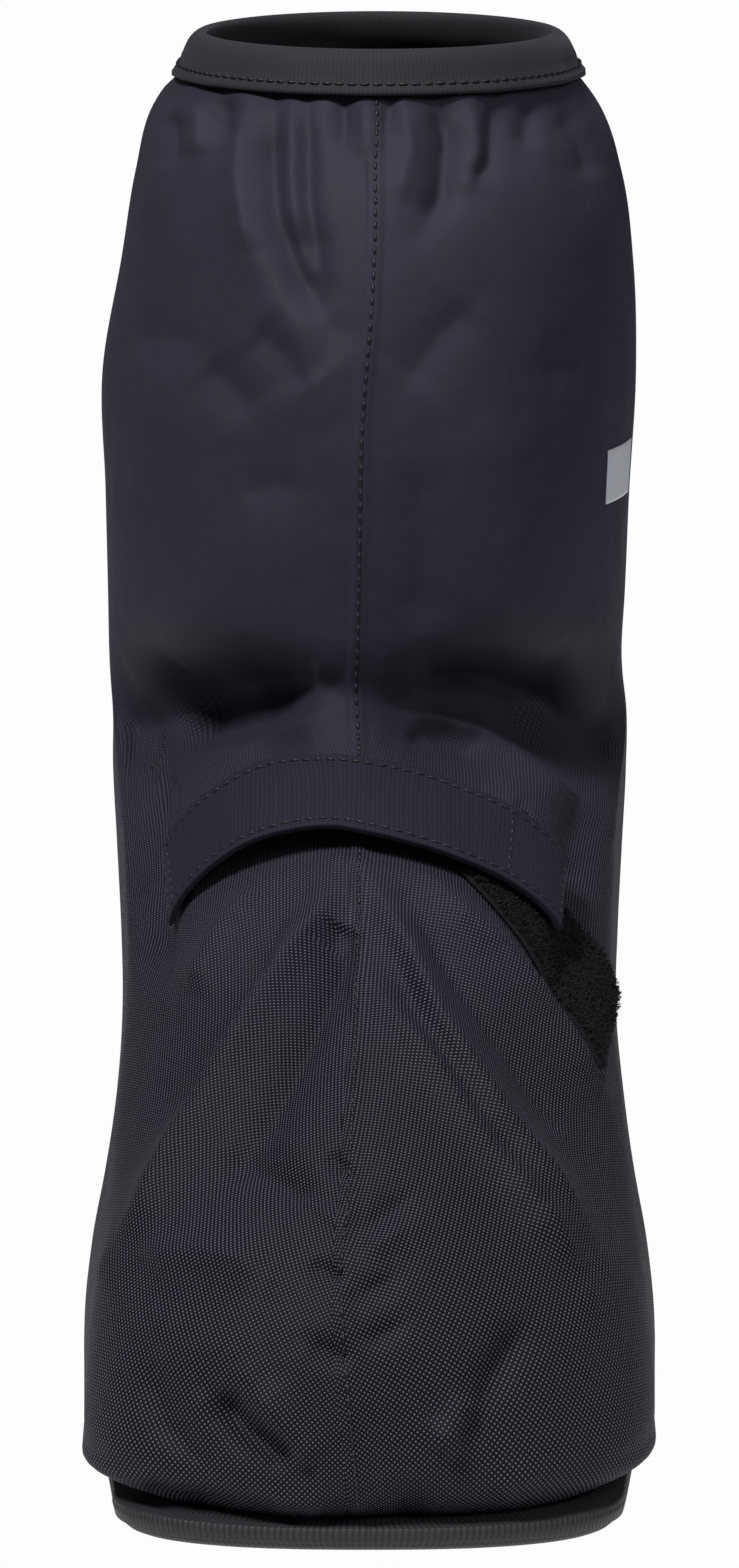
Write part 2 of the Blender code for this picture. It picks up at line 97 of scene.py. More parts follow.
# What only the looks need: the sole's worn side, the thread, the bar, the pile and the folds
SOLE_EDGE_ROUND = 0.0026
SOLE_UNDERCUT = 0.0048
SOLE_FLARE = 0.0018
SOLE_LIP = 0.0008
BAND_LIP = 0.0007
BAND_STITCH_UP = 0.0021
STRAP_EDGE_ROUND = 0.0008
HOOK_EDGE_ROUND = 0.0004
STRAP_GROOVE = 0.0002
STRAP_GROOVE_WIDTH = 0.0007
STRAP_END_STITCH = 0.0022
STRAP_SECOND_STITCH = 0.0062
STRAP_BOX_STITCH = 0.0035
GATHER_HEIGHT = 0.0016
GATHER_FADE = 0.016
WEAVE_PITCH = 0.00056
STITCH_PITCH = 0.0027
STITCH_LENGTH = 0.0021
STITCH_RADIUS = 0.0003
TOPSTITCH_INSET = 0.0021
STRAP_STITCH_INSET = 0.0022
BAR_AROUND = (0.072, 0.093)
BAR_LEVELS = (0.742, 0.774)
BAR_LIFT = 0.00025
FUZZ_COUNT = 9000
FUZZ_HEIGHT = 0.0012
FUZZ_WIDTH = 0.00009
SOLE_COLUMNS = 420
STRAP_RUNS = 150
COVER_FADE = 0.004

# How finely the meshes are cut
SHELL_ROWS = 330
SHELL_HALF_COLUMNS = 138
LINING_ROWS = 220
LINING_COLUMNS = 240
# The lining hangs this much clear of the shell between the hem and a level under the collar.
LINING_EASE = 0.0016
LINING_EASE_TOP = 0.94
LINING_EASE_FADE = 0.04
SKIN_LEVELS = 560
SKIN_TURNS = 320
RING_POINTS = 360
PATTERN_STEP = 3

Plan = namedtuple("Plan", "toe ball waist_in waist_out heel round_in round_out round_heel keen")
STATIONS = (0.0, 0.12, 0.33, 0.60, 0.85, 1.0)
ELLIPSE_ROUND = 0.5
ELLIPSE_KEEN = 2.0
SOLE_PLAN = Plan(0.92, 1.0, 0.78, 0.86, 0.765, 0.12, 0.13, 0.16, 2.4)
TOE_SPRING_END = 0.17
ARCH_START = 0.42
ARCH_END = 0.72

# The rings of the foot and of the shaft, as in the solid.
FootRing = namedtuple("FootRing", "level front front_up back back_up seam plan")
FOOT_RINGS = (
    FootRing(0.014, 0.012, 0.084, 0.990, 0.086, -0.075,
             Plan(0.95, 0.965, 0.77, 0.83, 0.76, 0.14, 0.17, 0.17, 2.2)),
    FootRing(0.036, 0.002, 0.120, 0.998, 0.130, -0.080,
             Plan(0.97, 0.995, 0.83, 0.88, 0.84, 0.15, 0.18, 0.17, 2.2)),
    FootRing(0.070, 0.000, 0.190, 1.003, 0.230, -0.095,
             Plan(0.96, 1.000, 0.88, 0.93, 0.89, 0.17, 0.20, 0.17, 2.1)),
    FootRing(0.110, 0.010, 0.285, 1.005, 0.350, -0.115,
             Plan(0.93, 0.975, 0.90, 0.93, 0.90, 0.20, 0.23, 0.17, 2.0)),
    FootRing(0.155, 0.036, 0.375, 1.005, 0.460, -0.130,
             Plan(0.87, 0.930, 0.90, 0.92, 0.91, 0.25, 0.28, 0.18, 1.9)),
    FootRing(0.215, 0.090, 0.470, 1.003, 0.560, -0.110,
             Plan(0.83, 0.890, 0.90, 0.90, 0.92, 0.31, 0.34, 0.20, 1.8)),
    FootRing(0.300, 0.178, 0.590, 1.000, 0.660, -0.090,
             Plan(0.80, 0.860, 0.91, 0.91, 0.93, 0.36, 0.38, 0.25, 1.7)),
    FootRing(0.400, 0.286, 0.718, 0.998, 0.770, -0.075,
             Plan(0.80, 0.860, 0.93, 0.93, 0.94, 0.40, 0.40, 0.32, 1.6)),
    FootRing(0.500, 0.394, 0.845, 0.996, 0.870, -0.070,
             Plan(0.82, 0.890, 0.95, 0.95, 0.95, 0.42, 0.42, 0.40, 1.65)),
    FootRing(0.575, 0.474, 0.940, 0.994, 0.950, -0.070,
             Plan(0.88, 0.930, 0.955, 0.955, 0.95, 0.45, 0.45, 0.46, 1.8)),
)
HEM_SEAM = -0.07
ShaftRing = namedtuple("ShaftRing", "level up ahead behind wide seam lean")
SHAFT_RINGS = (
    ShaftRing(0.625, 0.035, 0.468, 0.500, 0.965, -0.070, -0.4),
    ShaftRing(0.670, 0.135, 0.480, 0.498, 0.972, -0.068, -0.3),
    ShaftRing(0.740, 0.300, 0.510, 0.492, 0.982, -0.064, -0.2),
    ShaftRing(0.810, 0.490, 0.520, 0.480, 0.997, -0.060, 0.0),
    ShaftRing(0.870, 0.660, 0.500, 0.455, 0.955, -0.056, 0.8),
    ShaftRing(0.920, 0.800, 0.450, 0.415, 0.902, -0.052, 1.0),
    ShaftRing(0.952, 0.890, 0.390, 0.370, 0.835, -0.050, 0.9),
)
NECK_LEVELS = (0.974, 1.0)
NECK_LEAN = 0.9
NECK_SEAM = -0.048
Trough = namedtuple("Trough", "around_from up_from around_to up_to spread depth back")
TROUGHS = (
    Trough(-0.20, 0.606, -0.46, 0.600, 0.120, 0.105, 1),
    Trough(0.20, 0.604, 0.46, 0.598, 0.120, 0.100, 1),
    Trough(-0.60, 0.560, -0.64, 0.380, 0.110, 0.030, 0),
    Trough(0.60, 0.560, 0.64, 0.360, 0.110, 0.030, 0),
)
STRAP_LEVEL = 0.540
STRAP_DROP = 0.108
STRAP_BEND = 1.5
STRAP_LANDS = 0.72
STRAP_CLIMBS = (0.25, 0.65)

# Where the eye stands, before the toe's tip and above the floor. The lens is in millimetres, on a 36 mm frame.
EYE_AHEAD = 1.8
EYE_HEIGHT = 0.461
LOOK_SLOPE = 0.1691
LENS = 216.5
SENSOR = 36.0

# How bright the room is, and the lamps: place, size and power in watts.
ROOM_LIGHT = 0.11
LAMPS = (
    ("key", (-0.75, -1.05, 1.75), 0.4, 40.0),
    ("fill", (1.2, -1.2, 1.3), 0.7, 12.0),
    ("top", (0.1, 0.3, 1.7), 0.8, 5.0),
)

# How crisp a fold is: 2 is a soft wave, and less is a crease.
FOLD_CRISP = 1.35

# Folds of the front. A place is given in millimetres on an upright sheet at the toe's tip, seen
# from the eye: across, and up from the floor. Depth is how far the cloth is pressed in. A ridge has a
# negative depth.
# Spread is how wide the fold is to each side of its line, at its start and at its end.
Fold = namedtuple("Fold", "depth spread line")
FOLDS = (
    # Gathers under the collar
    Fold(5.1, (3.2, 4.0), ((-18, 290), (-19, 278), (-18, 267), (-14, 256), (-7, 245))),
    Fold(3.3, (2.4, 2.6), ((-12, 290), (-12, 270), (-9, 254))),
    Fold(-3.0, (3.2, 3.4), ((-24, 289), (-25, 274), (-22, 258))),
    Fold(-2.4, (2.2, 2.4), ((-15, 289), (-15, 274), (-13, 260))),
    Fold(4.5, (2.8, 3.2), ((12, 290), (15, 283), (14, 271), (10, 264))),
    Fold(-2.7, (2.8, 3.0), ((19, 289), (21, 280), (18, 270))),
    Fold(-2.1, (2.6, 3.0), ((6, 290), (8, 280), (5, 268))),
    Fold(3.9, (2.6, 3.0), ((24, 290), (23, 278), (19, 272))),
    Fold(3.3, (2.6, 2.8), ((31, 290), (30, 280))),
    Fold(3.6, (3.0, 3.4), ((-38, 288), (-38, 276))),
    Fold(3.6, (2.8, 3.2), ((-28, 290), (-28, 281))),
    Fold(-2.4, (2.6, 3.0), ((-33, 289), (-33, 278))),
    Fold(3.0, (2.8, 3.0), ((36, 289), (41, 281), (43, 273))),
    Fold(2.4, (2.2, 2.4), ((-5, 291), (-5, 280))),
    Fold(2.2, (2.2, 2.4), ((4, 290), (3, 282))),
    Fold(-1.8, (2.2, 2.4), ((-1, 290), (-1, 278))),
    # Broad soft folds of the shaft
    Fold(-2.9, (7.0, 8.0), ((-21, 283), (-20, 262), (-15, 247), (-7, 222))),
    Fold(2.9, (5.0, 5.5), ((-23, 246), (-16, 240), (-11, 233))),
    Fold(2.0, (4.5, 4.5), ((-46, 243), (-40, 244), (-33, 242))),
    Fold(2.5, (5.0, 5.5), ((-32, 239), (-26, 233), (-22, 228))),
    Fold(1.8, (4.5, 5.0), ((-25, 213), (-18, 215), (-13, 214))),
    Fold(2.2, (5.0, 5.5), ((21, 251), (13, 243), (6, 233))),
    Fold(1.8, (4.0, 4.0), ((33, 238), (42, 239))),
    Fold(1.4, (4.0, 5.0), ((10, 222), (11, 200), (9, 184))),
    Fold(-1.6, (8.0, 8.0), ((25, 232), (29, 205), (25, 182))),
    Fold(-1.4, (7.0, 8.0), ((-34, 222), (-31, 200), (-36, 182))),
    # The creases over the ankle
    Fold(9.5, (10.0, 3.4), ((-56, 166), (-46, 168), (-36, 171), (-22, 174), (-12, 175), (-7, 175))),
    Fold(4.0, (6.0, 5.0), ((-44, 170), (-41, 158), (-43, 146), (-46, 130))),
    Fold(9.0, (3.4, 7.5), ((6, 172), (14, 175), (24, 175), (34, 172), (46, 166), (58, 160))),
    Fold(-3.4, (3.5, 3.5), ((-42, 160), (-34, 162), (-25, 163), (-14, 168), (-6, 172))),
    Fold(-4.2, (2.0, 3.2), ((5, 171), (12, 170), (21, 167), (35, 156), (47, 147))),
    Fold(2.6, (2.2, 2.4), ((6, 166), (14, 165), (22, 161))),
    Fold(-1.6, (3.5, 3.5), ((23, 160), (34, 148), (42, 138))),
    # Folds that run down the vamp from the strap
    Fold(-7.7, (3.4, 4.6), ((-6, 141), (-9, 132), (-14, 124), (-25, 107), (-35, 90), (-43, 73), (-52, 60))),
    Fold(5.8, (3.0, 4.4), ((-1, 132), (-7, 118), (-16, 98), (-26, 80))),
    Fold(-4.6, (3.0, 3.6), ((-21, 137), (-28, 128), (-36, 114))),
    Fold(4.6, (2.6, 4.0), ((-14, 134), (-22, 120), (-33, 100), (-42, 84))),
    Fold(-7.7, (3.0, 4.6), ((0, 138), (5, 128), (13, 110), (24, 92), (34, 78), (46, 60))),
    Fold(-6.1, (3.0, 4.0), ((-1, 118), (13, 100), (25, 82), (36, 66), (43, 55))),
    Fold(5.0, (2.4, 4.0), ((3, 126), (10, 110), (20, 92), (32, 74))),
    Fold(-5.8, (3.0, 4.0), ((9, 141), (16, 132), (25, 124), (36, 110), (47, 90))),
    Fold(4.2, (2.4, 3.6), ((7, 134), (16, 120), (28, 103), (40, 84))),
    Fold(4.2, (3.4, 3.4), ((-8, 124), (-6, 130))),
    Fold(4.2, (4.5, 4.5), ((-30, 86), (-20, 80), (-10, 74))),
    Fold(-3.5, (5.0, 5.0), ((-46, 62), (-32, 64), (-18, 60))),
    # The toe
    Fold(6.6, (3.4, 3.6), ((-32, 37), (-24, 28), (-13, 20))),
    Fold(-5.5, (3.2, 3.4), ((21, 36), (17, 29), (13, 23))),
    Fold(-4.2, (3.6, 4.0), ((-24, 37), (-16, 27), (-10, 20))),
    Fold(4.2, (4.0, 4.0), ((32, 52), (24, 38), (16, 24))),
    Fold(3.4, (4.0, 4.0), ((-44, 44), (-40, 30), (-30, 18))),
    # Puckers beside the front seam
    Fold(2.6, (1.8, 2.2), ((-9, 84), (-2, 79))),
    Fold(2.6, (1.8, 2.2), ((-12, 62), (-4, 58))),
    Fold(-1.9, (1.8, 2.2), ((-11, 73), (-4, 69))),
    Fold(2.2, (1.8, 2.2), ((-3, 55), (5, 59))),
    Fold(2.2, (1.8, 2.2), ((0, 70), (8, 75))),
    Fold(2.2, (1.8, 2.4), ((-12, 46), (-3, 42))),
    Fold(-1.9, (1.8, 2.2), ((-1, 64), (7, 68))),
    Fold(1.9, (1.8, 2.2), ((-1, 46), (7, 50))),
    # The hem's waves over the sole
    Fold(3.1, (3.4, 3.4), ((-46, 17), (-38, 13), (-30, 13))),
    Fold(-1.8, (3.0, 3.0), ((-20, 15), (-8, 13))),
    Fold(1.8, (3.0, 3.0), ((4, 13), (12, 14))),
    Fold(-1.8, (3.0, 3.0), ((24, 17), (34, 20))),
)


def unit(vectors):
    """Vectors brought to a length of one."""
    return vectors / np.linalg.norm(vectors, axis=-1, keepdims=True)


def walked(path):
    """How far along a path of points each of them lies."""
    return np.concatenate([[0.0], np.cumsum(np.linalg.norm(np.diff(path, axis=0), axis=1))])


def eased(rows, level):
    """Each column of a table of rows at a level, on a smooth curve through the rows."""
    table = np.array(rows, float)
    knots, values = table[:, 0], table[:, 1:]
    slopes = np.gradient(values, knots, axis=0)
    level = min(max(level, knots[0]), knots[-1])
    i = int(np.clip(np.searchsorted(knots, level) - 1, 0, len(knots) - 2))
    step = knots[i + 1] - knots[i]
    t = (level - knots[i]) / step
    return (
        (2 * t**3 - 3 * t**2 + 1) * values[i]
        + (t**3 - 2 * t**2 + t) * step * slopes[i]
        + (3 * t**2 - 2 * t**3) * values[i + 1]
        + (t**3 - t**2) * step * slopes[i + 1]
    )


def half_width(plan, along, side):
    """Half width of an outline at shares of its length, on the inner side, -1, or the outer side, 1."""
    waist, toe_round = (plan.waist_in, plan.round_in) if side < 0 else (plan.waist_out, plan.round_out)
    half = np.interp(along, STATIONS, (plan.toe, plan.toe, plan.ball, waist, plan.heel, plan.heel))
    ahead = np.clip(1 - along / toe_round, 0.0, 1.0)
    behind = np.clip(1 - (1 - along) / plan.round_heel, 0.0, 1.0)
    heel_keen = max(plan.keen, ELLIPSE_KEEN)
    return half * (1 - ahead**plan.keen) ** (1 / plan.keen) * (1 - behind**heel_keen) ** (1 / heel_keen)


def sole_plan(inset):
    """The sole's outline, drawn in by an inset."""
    half = BALL_WIDTH / 2 - SIDE_OVERHANG
    widths = [share * half - inset for share in SOLE_PLAN[:5]]
    return Plan(*widths, *SOLE_PLAN[5:])


def sole_rest(y):
    """How high the sole's underside is at a distance behind the toe: flat at ball and heel."""
    share = np.clip(y / FOOT_LENGTH, 0.0, 1.0)
    spring = TOE_SPRING * np.clip(1 - share / TOE_SPRING_END, 0.0, 1.0) ** 2
    arch = np.clip((share - ARCH_START) / (ARCH_END - ARCH_START), 0.0, 1.0)
    return spring + ARCH_RISE * np.sin(math.pi * arch)


def ring_rows():
    """All rings of the shell as one table: level, lengths behind the toe, heights, seam, lean and plan."""
    half_ball, half_shaft = BALL_WIDTH / 2, SHAFT_WIDTH / 2
    seat = SOLE_LEDGE + (SOLE_RIM_WIDTH - SHELL_WALL) / 2
    hem = SOLE_RIM_HEIGHT + SEWN_GAP
    toe, heel = TOE_OVERHANG + seat, FOOT_LENGTH - TOE_OVERHANG - seat
    rows = [(0.0, toe, hem, heel, hem, HEM_SEAM * half_ball, 0.0, *sole_plan(seat))]
    for r in FOOT_RINGS:
        ends = (r.front * FOOT_LENGTH, r.front_up * ANKLE_HEIGHT)
        ends += (r.back * FOOT_LENGTH, r.back_up * ANKLE_HEIGHT)
        widths = [share * half_ball for share in r.plan[:5]]
        rows.append((r.level, *ends, r.seam * half_ball, 0.0, *widths, *r.plan[5:]))
    axis = FOOT_LENGTH - HEEL_TO_SHAFT_AXIS
    rise = SHELL_HEIGHT - ANKLE_HEIGHT
    ellipse = (ELLIPSE_ROUND,) * 3 + (ELLIPSE_KEEN,)
    for r in SHAFT_RINGS:
        up = ANKLE_HEIGHT + r.up * rise
        ends = (axis - r.ahead * SHAFT_DEPTH, up, axis + r.behind * SHAFT_DEPTH, up)
        widths = (r.wide * half_shaft,) * 5
        rows.append((r.level, *ends, r.seam * half_shaft, r.lean * SHAFT_LEAN, *widths, *ellipse))
    for level, up, taper in zip(NECK_LEVELS, (SHELL_HEIGHT - BAND_LAP, SHELL_HEIGHT), (0.0, COLLAR_TAPER)):
        half_depth = COLLAR_DEPTH / 2 - taper
        widths = (COLLAR_WIDTH / 2 - taper,) * 5
        ends = (axis - half_depth, up, axis + half_depth, up)
        rows.append((level, *ends, NECK_SEAM * half_shaft, NECK_LEAN * SHAFT_LEAN, *widths, *ellipse))
    return rows


def shell_ring(rows, level, shares):
    """Points of the ring at a level, and how far each lies from the front seam, where its share is 0."""
    front, front_up, back, back_up, seam, lean, *plan = eased(rows, level)
    plan = Plan(*plan)
    turn = np.linspace(-math.pi, math.pi, 2 * RING_POINTS + 1)
    along = (1 - np.cos(turn)) / 2
    x = lean + np.where(turn < 0, -half_width(plan, along, -1), half_width(plan, along, 1))
    ring = np.column_stack([x, front + along * (back - front), front_up + (back_up - front_up) * along])
    passed = walked(ring)
    passed -= np.interp(0.0, turn, passed)
    reach = np.where(shares < 0, seam - passed[0], passed[-1] - seam)
    at = seam + shares * reach
    placed = np.column_stack([np.interp(at, passed, ring[:, k]) for k in range(3)])
    return placed, shares * reach


def off_line(points, line):
    """How far points of a sheet lie from a bent line, and the share of it at their nearest place."""
    line = np.array(line, float)
    lengths = np.linalg.norm(np.diff(line, axis=0), axis=1)
    total, done = lengths.sum(), 0.0
    away = np.full(points.shape[:-1], np.inf)
    along = np.zeros(points.shape[:-1])
    for start, end, length in zip(line[:-1], line[1:], lengths):
        run = end - start
        share = np.clip((points - start) @ run / (run @ run), 0.0, 1.0)
        gap = np.linalg.norm(points - start - share[..., None] * run, axis=-1)
        nearer = gap < away
        away = np.where(nearer, gap, away)
        along = np.where(nearer, (done + share * length) / total, along)
        done += length
    return away, along


def seen_from_front(points):
    """Where the eye sees points on an upright sheet at the toe's tip, in millimetres across and up."""
    near = EYE_AHEAD / (EYE_AHEAD + points[..., 1])
    return np.stack([points[..., 0] * near, EYE_HEIGHT - (EYE_HEIGHT - points[..., 2]) * near], axis=-1) / MM


def strap_middle(share):
    """The level of the strap's middle line at a share of its run."""
    return STRAP_LEVEL - STRAP_DROP * np.abs(2 * share - 1) ** STRAP_BEND


def loop_axes(front_length):
    """The loop strip's top and its two directions, as distance from the front seam and height along it."""
    slant = math.radians(LOOP_SLANT_DEG)
    run = np.array([math.sin(slant), -math.cos(slant)])
    side = np.array([math.cos(slant), math.sin(slant)])
    top = np.array([STRAP_LATERAL_REACH - LOOP_INSET, (STRAP_LEVEL - STRAP_DROP) * front_length])
    return top - run * LOOP_TUCK, run, side


def on_loop_strip(around, height, front_length):
    """How far down and across the loop strip places of the shell lie."""
    top, run, side = loop_axes(front_length)
    place = np.stack([around, height], axis=-1) - top
    return place @ run, place @ side


class Skin:
    """The shell's outer face on a fine grid, cut by level and by distance from the front seam."""

    def __init__(self, folded):
        rows = ring_rows()
        self.levels = np.linspace(0.0, 1.0, SKIN_LEVELS)
        self.shares = np.linspace(-1.0, 1.0, 2 * SKIN_TURNS - 1)
        rings = [shell_ring(rows, level, self.shares) for level in self.levels]
        points = np.array([r[0] for r in rings])
        self.around = np.array([r[1] for r in rings])
        seam = points[:, SKIN_TURNS - 1]
        self.front_length = float(walked(seam)[-1])
        inward = -self.outward(points)
        heights = np.repeat(self.levels[:, None], len(self.shares), axis=1) * self.front_length
        sheet = np.stack([self.around, heights], axis=-1)
        for t in TROUGHS:
            line = [(t.around_from * SHAFT_WIDTH, t.up_from * self.front_length)]
            line.append((t.around_to * SHAFT_WIDTH, t.up_to * self.front_length))
            away = off_line(sheet, line)[0]
            aside = np.abs(inward[..., :1]) ** 2
            push = aside * inward + (1 - aside) * np.array([0.0, 1.0, 0.0]) if t.back else inward
            deep = t.depth * SHAFT_DEPTH * np.exp(-((away / (t.spread * SHAFT_WIDTH)) ** 2))
            points = points + push * deep[..., None]
        self.points = points
        self.normals = self.outward(points)
        if folded:
            self.lay_folds()

    def lay_folds(self):
        """Presses the listed folds into the front, and the gathers under the collar all round."""
        seen = seen_from_front(self.points)
        to_eye = unit(np.array([0.0, -EYE_AHEAD, EYE_HEIGHT]) - self.points)
        facing = np.clip((np.sum(self.normals * to_eye, axis=-1) - 0.05) / 0.25, 0.0, 1.0)
        press = np.zeros(facing.shape)
        for fold in FOLDS:
            away, along = off_line(seen, fold.line)
            taper = np.clip(np.sin(math.pi * np.clip(along, 0.06, 0.94)) * 1.6, 0.0, 1.0)
            spread = fold.spread[0] + (fold.spread[1] - fold.spread[0]) * along
            press += fold.depth * MM * taper * np.exp(-((away / spread) ** FOLD_CRISP))
        press *= facing * (1 - self.covered())
        self.points = self.points - unit(self.normals + to_eye) * press[..., None]
        self.points = self.points - self.normals * (self.gathers() * (1 - 0.75 * facing))[..., None]
        self.normals = self.outward(self.points)

    def covered(self):
        """Where the strap and the loop strip lie on the shell, so that no fold comes through them."""
        levels = np.broadcast_to(self.levels[:, None], self.around.shape)
        share = (self.around + STRAP_MEDIAL_REACH) / (STRAP_MEDIAL_REACH + STRAP_LATERAL_REACH)
        off_strap = np.abs(levels - strap_middle(share)) * self.front_length - STRAP_WIDTH / 2
        off_ends = (np.abs(share - 0.5) - 0.5) * (STRAP_MEDIAL_REACH + STRAP_LATERAL_REACH)
        down, across = on_loop_strip(self.around, levels * self.front_length, self.front_length)
        off_strip = np.maximum(np.abs(across) - LOOP_WIDTH / 2, np.maximum(-down, down - LOOP_LENGTH))
        off = np.minimum(np.maximum(off_strap, off_ends), off_strip)
        return np.clip(1 - off / COVER_FADE, 0.0, 1.0)

    def gathers(self):
        """The gathers that the collar's elastic draws up, fading down the shaft."""
        turn = self.shares * math.pi
        lobes = 0.5 * np.cos(19 * turn + 0.7) + 0.35 * np.cos(27 * turn + 2.1) + 0.3 * np.cos(11 * turn + 1.3)
        down = (NECK_LEVELS[0] - self.levels) * self.front_length / GATHER_FADE
        fade = np.where(down > 0, np.exp(-np.clip(down, 0.0, None)) * np.clip(down * 4, 0.0, 1.0), 0.0)
        return GATHER_HEIGHT * lobes[None, :] * fade[:, None]

    @staticmethod
    def outward(points):
        """Unit normals of a grid of points, pointing out of the shell."""
        wrapped = np.concatenate([points[:, -2:-1], points, points[:, 1:2]], axis=1)
        across = (wrapped[:, 2:] - wrapped[:, :-2]) / 2
        up = np.gradient(points, axis=0)
        return unit(np.cross(across, up))

    def at(self, share, level, lift=0.0):
        """Points at shares round the ring and levels, lifted off the shell's face."""
        share, level, lift = np.broadcast_arrays(share, level, lift)
        column = (share + 1) / 2 * (len(self.shares) - 1)
        row = np.clip(level, 0.0, 1.0) * (len(self.levels) - 1)
        i = np.clip(row.astype(int), 0, len(self.levels) - 2)
        j = np.clip(column.astype(int), 0, len(self.shares) - 2)
        a, b = (row - i)[..., None], (column - j)[..., None]

        def blended(grid):
            low = grid[i, j] * (1 - b) + grid[i, j + 1] * b
            high = grid[i + 1, j] * (1 - b) + grid[i + 1, j + 1] * b
            return low * (1 - a) + high * a

        return blended(self.points) + lift[..., None] * unit(blended(self.normals))

    def share_at(self, around, level):
        """The shares round the ring that lie at distances from the front seam."""
        around, level = np.broadcast_arrays(around, level)
        rows = np.clip(np.round(level * (len(self.levels) - 1)).astype(int), 0, len(self.levels) - 1)
        flat = [np.interp(a, self.around[i], self.shares) for a, i in zip(around.ravel(), rows.ravel())]
        return np.array(flat).reshape(around.shape)

    def beside_seam(self, around, level, lift=0.0):
        """Points at distances from the front seam and levels, lifted off the shell's face."""
        return self.at(self.share_at(around, level), level, lift)


def seam_welt(around, level):
    """Height of the folded seam allowance that is topstitched down on the outer side of the front seam."""
    rise = np.clip(around / SEAM_WELT_SLOPE, 0.0, 1.0)
    fall = np.clip((SEAM_WELT_WIDTH + SEAM_WELT_SLOPE - around) / SEAM_WELT_SLOPE, 0.0, 1.0)
    ends = np.clip(np.minimum(level, NECK_LEVELS[0] - level) / SEAM_WELT_FADE, 0.0, 1.0)
    return SEAM_WELT * np.minimum(rise, fall) * ends


def centred(points):
    """Moves points to the frame, whose origin is under the middle of the foot, from distances behind the toe."""
    moved = np.array(points, float)
    moved[..., 1] -= FOOT_LENGTH / 2
    return moved


def add_piece(name, points, faces, material, uvs=None):
    """A named mesh from points behind the toe, with one map place for each face corner."""
    mesh = bpy.data.meshes.new(name)
    mesh.from_pydata(centred(points).reshape(-1, 3).tolist(), [], faces)
    if uvs is not None:
        layer = mesh.uv_layers.new(name="cloth")
        layer.data.foreach_set("uv", np.asarray(uvs, float).ravel())
    mesh.shade_smooth()
    mesh.materials.append(material)
    piece = bpy.data.objects.new(name, mesh)
    bpy.context.scene.collection.objects.link(piece)
    return piece


def grid_faces(rows, columns):
    """Quads of a sheet of points that are stored row after row."""
    low = (np.arange(rows - 1)[:, None] * columns + np.arange(columns - 1)[None, :]).ravel()
    return np.column_stack([low, low + 1, low + columns + 1, low + columns]).tolist()


def weld(piece):
    """Joins the points that meet where a sheet closes on itself."""
    body = bmesh.new()
    body.from_mesh(piece.data)
    bmesh.ops.remove_doubles(body, verts=body.verts, dist=1e-6)
    body.to_mesh(piece.data)
    body.free()


def apply_all(piece):
    """Turns a piece's modifiers into its mesh."""
    graph = bpy.context.evaluated_depsgraph_get()
    made = bpy.data.meshes.new_from_object(piece.evaluated_get(graph))
    piece.modifiers.clear()
    piece.data = made


def thicken(piece, thickness):
    """Gives an outer face its thickness, inwards."""
    wall = piece.modifiers.new("wall", "SOLIDIFY")
    wall.thickness = thickness
    wall.offset = -1.0
    wall.use_rim = True
    apply_all(piece)


def flat_pattern(points):
    """The flat cut of a panel, in metres: where each point of its grid lies on the cloth before sewing."""
    rows, columns = points.shape[:2]
    mesh = bpy.data.meshes.new("pattern")
    mesh.from_pydata(points.reshape(-1, 3).tolist(), [], grid_faces(rows, columns))
    panel = bpy.data.objects.new("pattern", mesh)
    bpy.context.scene.collection.objects.link(panel)
    bpy.context.view_layer.objects.active = panel
    mesh.uv_layers.new(name="flat")
    bpy.ops.object.mode_set(mode="EDIT")
    bpy.ops.mesh.select_all(action="SELECT")
    bpy.ops.uv.unwrap(method="ANGLE_BASED", margin=0.0)
    bpy.ops.object.mode_set(mode="OBJECT")
    corner = np.zeros(len(mesh.loops) * 2)
    mesh.uv_layers[0].data.foreach_get("uv", corner)
    owner = np.zeros(len(mesh.loops), int)
    mesh.loops.foreach_get("vertex_index", owner)
    flat = np.zeros((rows * columns, 2))
    flat[owner] = corner.reshape(-1, 2)
    flat = flat.reshape(rows, columns, 2)
    bpy.data.objects.remove(panel, do_unlink=True)
    real = np.linalg.norm(np.diff(points, axis=0), axis=-1).sum()
    flat *= real / np.linalg.norm(np.diff(flat, axis=0), axis=-1).sum()
    up = unit(flat[int(rows * 0.9), columns // 2] - flat[int(rows * 0.7), columns // 2])
    side = np.array([up[1], -up[0]])
    return np.stack([flat @ side, flat @ up], axis=-1)


